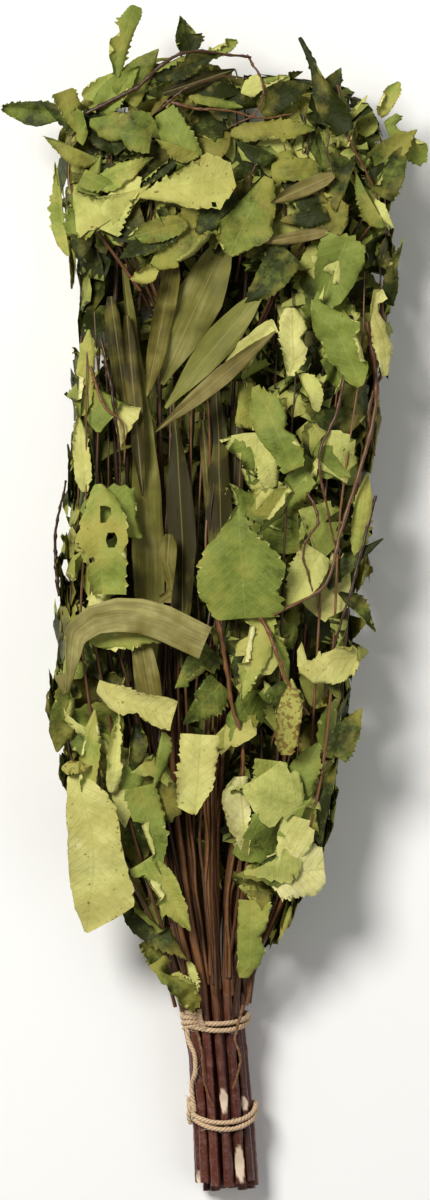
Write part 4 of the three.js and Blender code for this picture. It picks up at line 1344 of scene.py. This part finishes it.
def add_fibres(pieces, twine, radius, rng):
    """Short fibres that stand off the twine at random."""
    for _ in range(150):
        k = rng.integers(5, len(twine) - 5)
        away = unit(rng.normal(0, 1, 3))
        along = unit(twine[k + 3] - twine[k - 3])
        first = twine[k] + away * radius * 0.8
        reach = rng.uniform(1.2, 4.0)
        last = first + (along * rng.choice([-1, 1]) + away * rng.uniform(0.2, 0.9)) * reach
        middle = (first + last) / 2 + rng.normal(0, 0.5, 3)
        fibre = through([first, middle, last], 5)
        grid = tube(fibre, np.array([0.09, 0.09, 0.08, 0.06, 0.03]), 3, reference=(0.3, 0.9, 0.2))[None]
        pieces.add(grid, 0, 1.0, 0.8, wrap=True)


def binding_twine(settings):
    """The twine: two turns above, a link down the front and two turns below. A knot of four short bands lies
    over the upper turns, and a strand crosses each tie."""
    rng = seeded("binding_twine")
    grip = Grip()
    low, high = (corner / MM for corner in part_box("binding_twine"))
    radius = settings.radius / MM
    upper_y, lower_y = high[1] - UPPER_TIE_IN, low[1] + LOWER_TIE_IN
    upper = tie_turns(grip, upper_y, 5, TIE_START, radius)
    lower = tie_turns(grip, lower_y, 9.5, TIE_START, radius)
    link_y, link_clear = upper_y - np.array([12, 20, 29, 36]), radius + np.array([0.4, 0.8, 0.8, 0.4])
    link = grip.round(np.array([150, 134, 136, 151]), link_y, link_clear)
    pieces = Pieces()
    whole = through(np.vstack([upper, link, lower]), 900)
    add_twine(pieces, whole, radius, settings)
    for rise, clear in ((3.4, 0.7), (0.6, 2.2), (-2.6, 2.0), (-5.2, 0.8)):
        t = np.linspace(0, 1, 12)
        band_y, band_clear = upper_y + rise * (1 - 0.45 * t) - 1.5, clear * np.sin(np.pi * (0.12 + 0.76 * t))
        band = grip.round(164 - 50 * t, band_y, radius + band_clear)
        add_twine(pieces, through(band, 60), radius * 0.95, settings)
    for angle, lean, y, reach, clear in ((113, -9, upper_y - 2.2, 10, 2.3), (158, 14, lower_y - 4, 11, 1.4)):
        t = np.linspace(-0.5, 0.5, 9)
        strand = grip.round(angle + lean * t, y - reach * t, radius + 0.3 + clear * np.cos(np.pi * t))
        add_twine(pieces, through(strand, 40), radius * 0.95, settings)
    add_fibres(pieces, whole, radius, rng)
    return pieces.join("jute_binding_twine", [spun_jute(settings)])


def add_twine(pieces, path, radius, settings):
    """Twine of three strands along a line, a little uneven in thickness."""
    plies, depth, sides, lay = 3, 0.1, 18, settings.lay / MM
    walked = distances(path)
    swell = 1 + 0.05 * np.sin(walked / 3.1) + 0.04 * np.sin(walked / 1.3 + 1)
    girth = radius * 0.94 * swell
    grid = tube(path, girth, sides, reference=(0, 1, 0), plies=plies, ply_depth=depth, lay=lay)
    angle = np.linspace(0, 2 * np.pi, sides, endpoint=False)
    turned = angle - 2 * np.pi * walked[:, None] / lay
    # raised is 1 on the strands' crests and 0 in the lay between them; through the jute's colour it paints
    # shade in the lay and a highlight on the crests.
    raised = 0.5 + 0.5 * np.cos(plies * turned)
    place = np.stack([turned * radius, np.broadcast_to(walked[:, None], turned.shape), raised], -1)
    growth = np.stack([np.full_like(raised, 0.5), np.full_like(raised, 0.5), raised - 0.4], -1)
    pieces.add(grid[None], 0, place[None], growth[None], wrap=True)


# ---------------------------------------------------------------- the stage
# How far the floor goes each way from the bundle, in metres.
FLOOR_REACH = 9.0


def soft_light(name, place, side, power, colour):
    """A round soft light that faces the bundle."""
    light = bpy.data.lights.new(name, "AREA")
    light.shape = "DISK"
    light.size = side
    light.energy = power
    light.color = colour
    lamp = bpy.data.objects.new(name, light)
    lamp.location = place
    lamp.rotation_euler = (-Vector(place)).to_track_quat("-Z", "Y").to_euler()
    bpy.context.scene.collection.objects.link(lamp)


def look_down(distance=6.0, view_length=0.6, focus_height=0.05):
    """A camera straight above the middle of the bundle, with the head up."""
    camera = bpy.data.cameras.new("camera")
    camera.sensor_fit = "VERTICAL"
    camera.sensor_height = 36
    camera.lens = 36 * (distance - focus_height) / view_length
    low, high = CAD_BOX
    eye = bpy.data.objects.new("camera", camera)
    eye.location = ((low[0] + high[0]) / 2, (low[1] + high[1]) / 2, distance)
    bpy.context.scene.collection.objects.link(eye)
    bpy.context.scene.camera = eye


# ---------------------------------------------------------------- operators
class WHISK_OT_stage(bpy.types.Operator):
    """Adds the plain floor, the soft lights and the camera"""

    bl_idname = "whisk.stage"
    bl_label = "Stage"

    def execute(self, context):
        settings = context.scene.whisk_stage
        mesh = bpy.data.meshes.new("floor")
        corners = [(x * FLOOR_REACH, y * FLOOR_REACH, 0) for x, y in ((-1, -1), (1, -1), (1, 1), (-1, 1))]
        mesh.from_pydata(corners, [], [(0, 1, 2, 3)])
        mesh.materials.append(pale_floor(settings))
        floor = bpy.data.objects.new("floor", mesh)
        context.scene.collection.objects.link(floor)
        soft_light("key_light", (-1.0, 0.9, 2.0), 0.9, settings.key_power, (1, 0.99, 0.97))
        soft_light("fill_light", (1.3, -0.6, 1.6), 1.6, settings.fill_power, (0.98, 0.99, 1))
        world = bpy.data.worlds.new("studio")
        world.use_nodes = True
        world.node_tree.nodes["Background"].inputs["Color"].default_value = (1, 1, 1, 1)
        world.node_tree.nodes["Background"].inputs["Strength"].default_value = 0.2
        context.scene.world = world
        context.scene.view_settings.view_transform = "Standard"
        look_down()
        return {"FINISHED"}


class WHISK_OT_stems(bpy.types.Operator):
    """Builds each stem with its bark and cut end"""

    bl_idname = "whisk.stems"
    bl_label = "Stems"

    def execute(self, context):
        for name in nodes_named("birch_stem", "eucalyptus_stem"):
            settle(barked_stem(name, context.scene.whisk_twigs), name)
        return {"FINISHED"}


class WHISK_OT_sprays(bpy.types.Operator):
    """Builds the side twigs and leaves of each region of the head"""

    bl_idname = "whisk.sprays"
    bl_label = "Leafy sprays"

    def execute(self, context):
        for name in SPRAYS:
            piece = leafy_spray(name, context.scene)
            settle(piece, name)
        return {"FINISHED"}


class WHISK_OT_birch_leaves(bpy.types.Operator):
    """Builds the birch leaves that stand out"""

    bl_idname = "whisk.birch_leaves"
    bl_label = "Birch leaves"

    def execute(self, context):
        settings = context.scene.whisk_leaves
        materials = [dried_birch_leaf_upper(settings), dried_birch_leaf_underside(settings)]
        for name in nodes_named("birch_leaf"):
            slot = SLOT_OF[name]
            tint = BIRCH_TINTS.get(name.removeprefix("birch_leaf_"), BIRCH_TINTS[slot])
            face_up = int(slot == "leaf_pale")
            growth = (tint, seeded(name).random(), 0)
            settle(single_leaf(name, materials, settings, face_up, growth), name)
        return {"FINISHED"}


class WHISK_OT_eucalyptus_leaves(bpy.types.Operator):
    """Builds the long eucalyptus leaves"""

    bl_idname = "whisk.eucalyptus_leaves"
    bl_label = "Eucalyptus leaves"

    def execute(self, context):
        leaves = context.scene.whisk_leaves
        material = dried_eucalyptus_leaf(context.scene.whisk_eucalyptus)
        for name in nodes_named("eucalyptus_leaf"):
            growth = (*LONG_TONES[name.removeprefix("eucalyptus_leaf_")], 0)
            piece = single_leaf(name, [material, material], leaves, 0, growth, tooth=0, cockle=0.9)
            settle(piece, name)
        return {"FINISHED"}


class WHISK_OT_twine(bpy.types.Operator):
    """Builds the jute twine that binds the grip"""

    bl_idname = "whisk.twine"
    bl_label = "Binding twine"

    def execute(self, context):
        settle(binding_twine(context.scene.whisk_twine), "binding_twine")
        return {"FINISHED"}


class WHISK_PT_panel(bpy.types.Panel):
    """Lists the pieces of the bundle"""

    bl_label = "Leafy twigs"
    bl_space_type = "VIEW_3D"
    bl_region_type = "UI"
    bl_category = "Twigs"

    def draw(self, context):
        for operator in OPERATORS:
            self.layout.operator(operator.bl_idname)


OPERATORS = (
    WHISK_OT_stage,
    WHISK_OT_stems,
    WHISK_OT_sprays,
    WHISK_OT_birch_leaves,
    WHISK_OT_eucalyptus_leaves,
    WHISK_OT_twine,
)
SETTINGS = {
    "whisk_leaves": LeafSettings,
    "whisk_eucalyptus": EucalyptusSettings,
    "whisk_twigs": TwigSettings,
    "whisk_twine": TwineSettings,
    "whisk_stage": StageSettings,
}


def register():
    for kind in (*SETTINGS.values(), *OPERATORS, WHISK_PT_panel):
        bpy.utils.register_class(kind)
    for name, kind in SETTINGS.items():
        setattr(bpy.types.Scene, name, PointerProperty(type=kind))


def unregister():
    for name in SETTINGS:
        delattr(bpy.types.Scene, name)
    for kind in (WHISK_PT_panel, *OPERATORS, *SETTINGS.values()):
        bpy.utils.unregister_class(kind)


def main():
    register()
    bpy.ops.whisk.stage()
    bpy.ops.whisk.stems()
    bpy.ops.whisk.sprays()
    bpy.ops.whisk.birch_leaves()
    bpy.ops.whisk.eucalyptus_leaves()
    bpy.ops.whisk.twine()


if __name__ == "__main__":
    main()
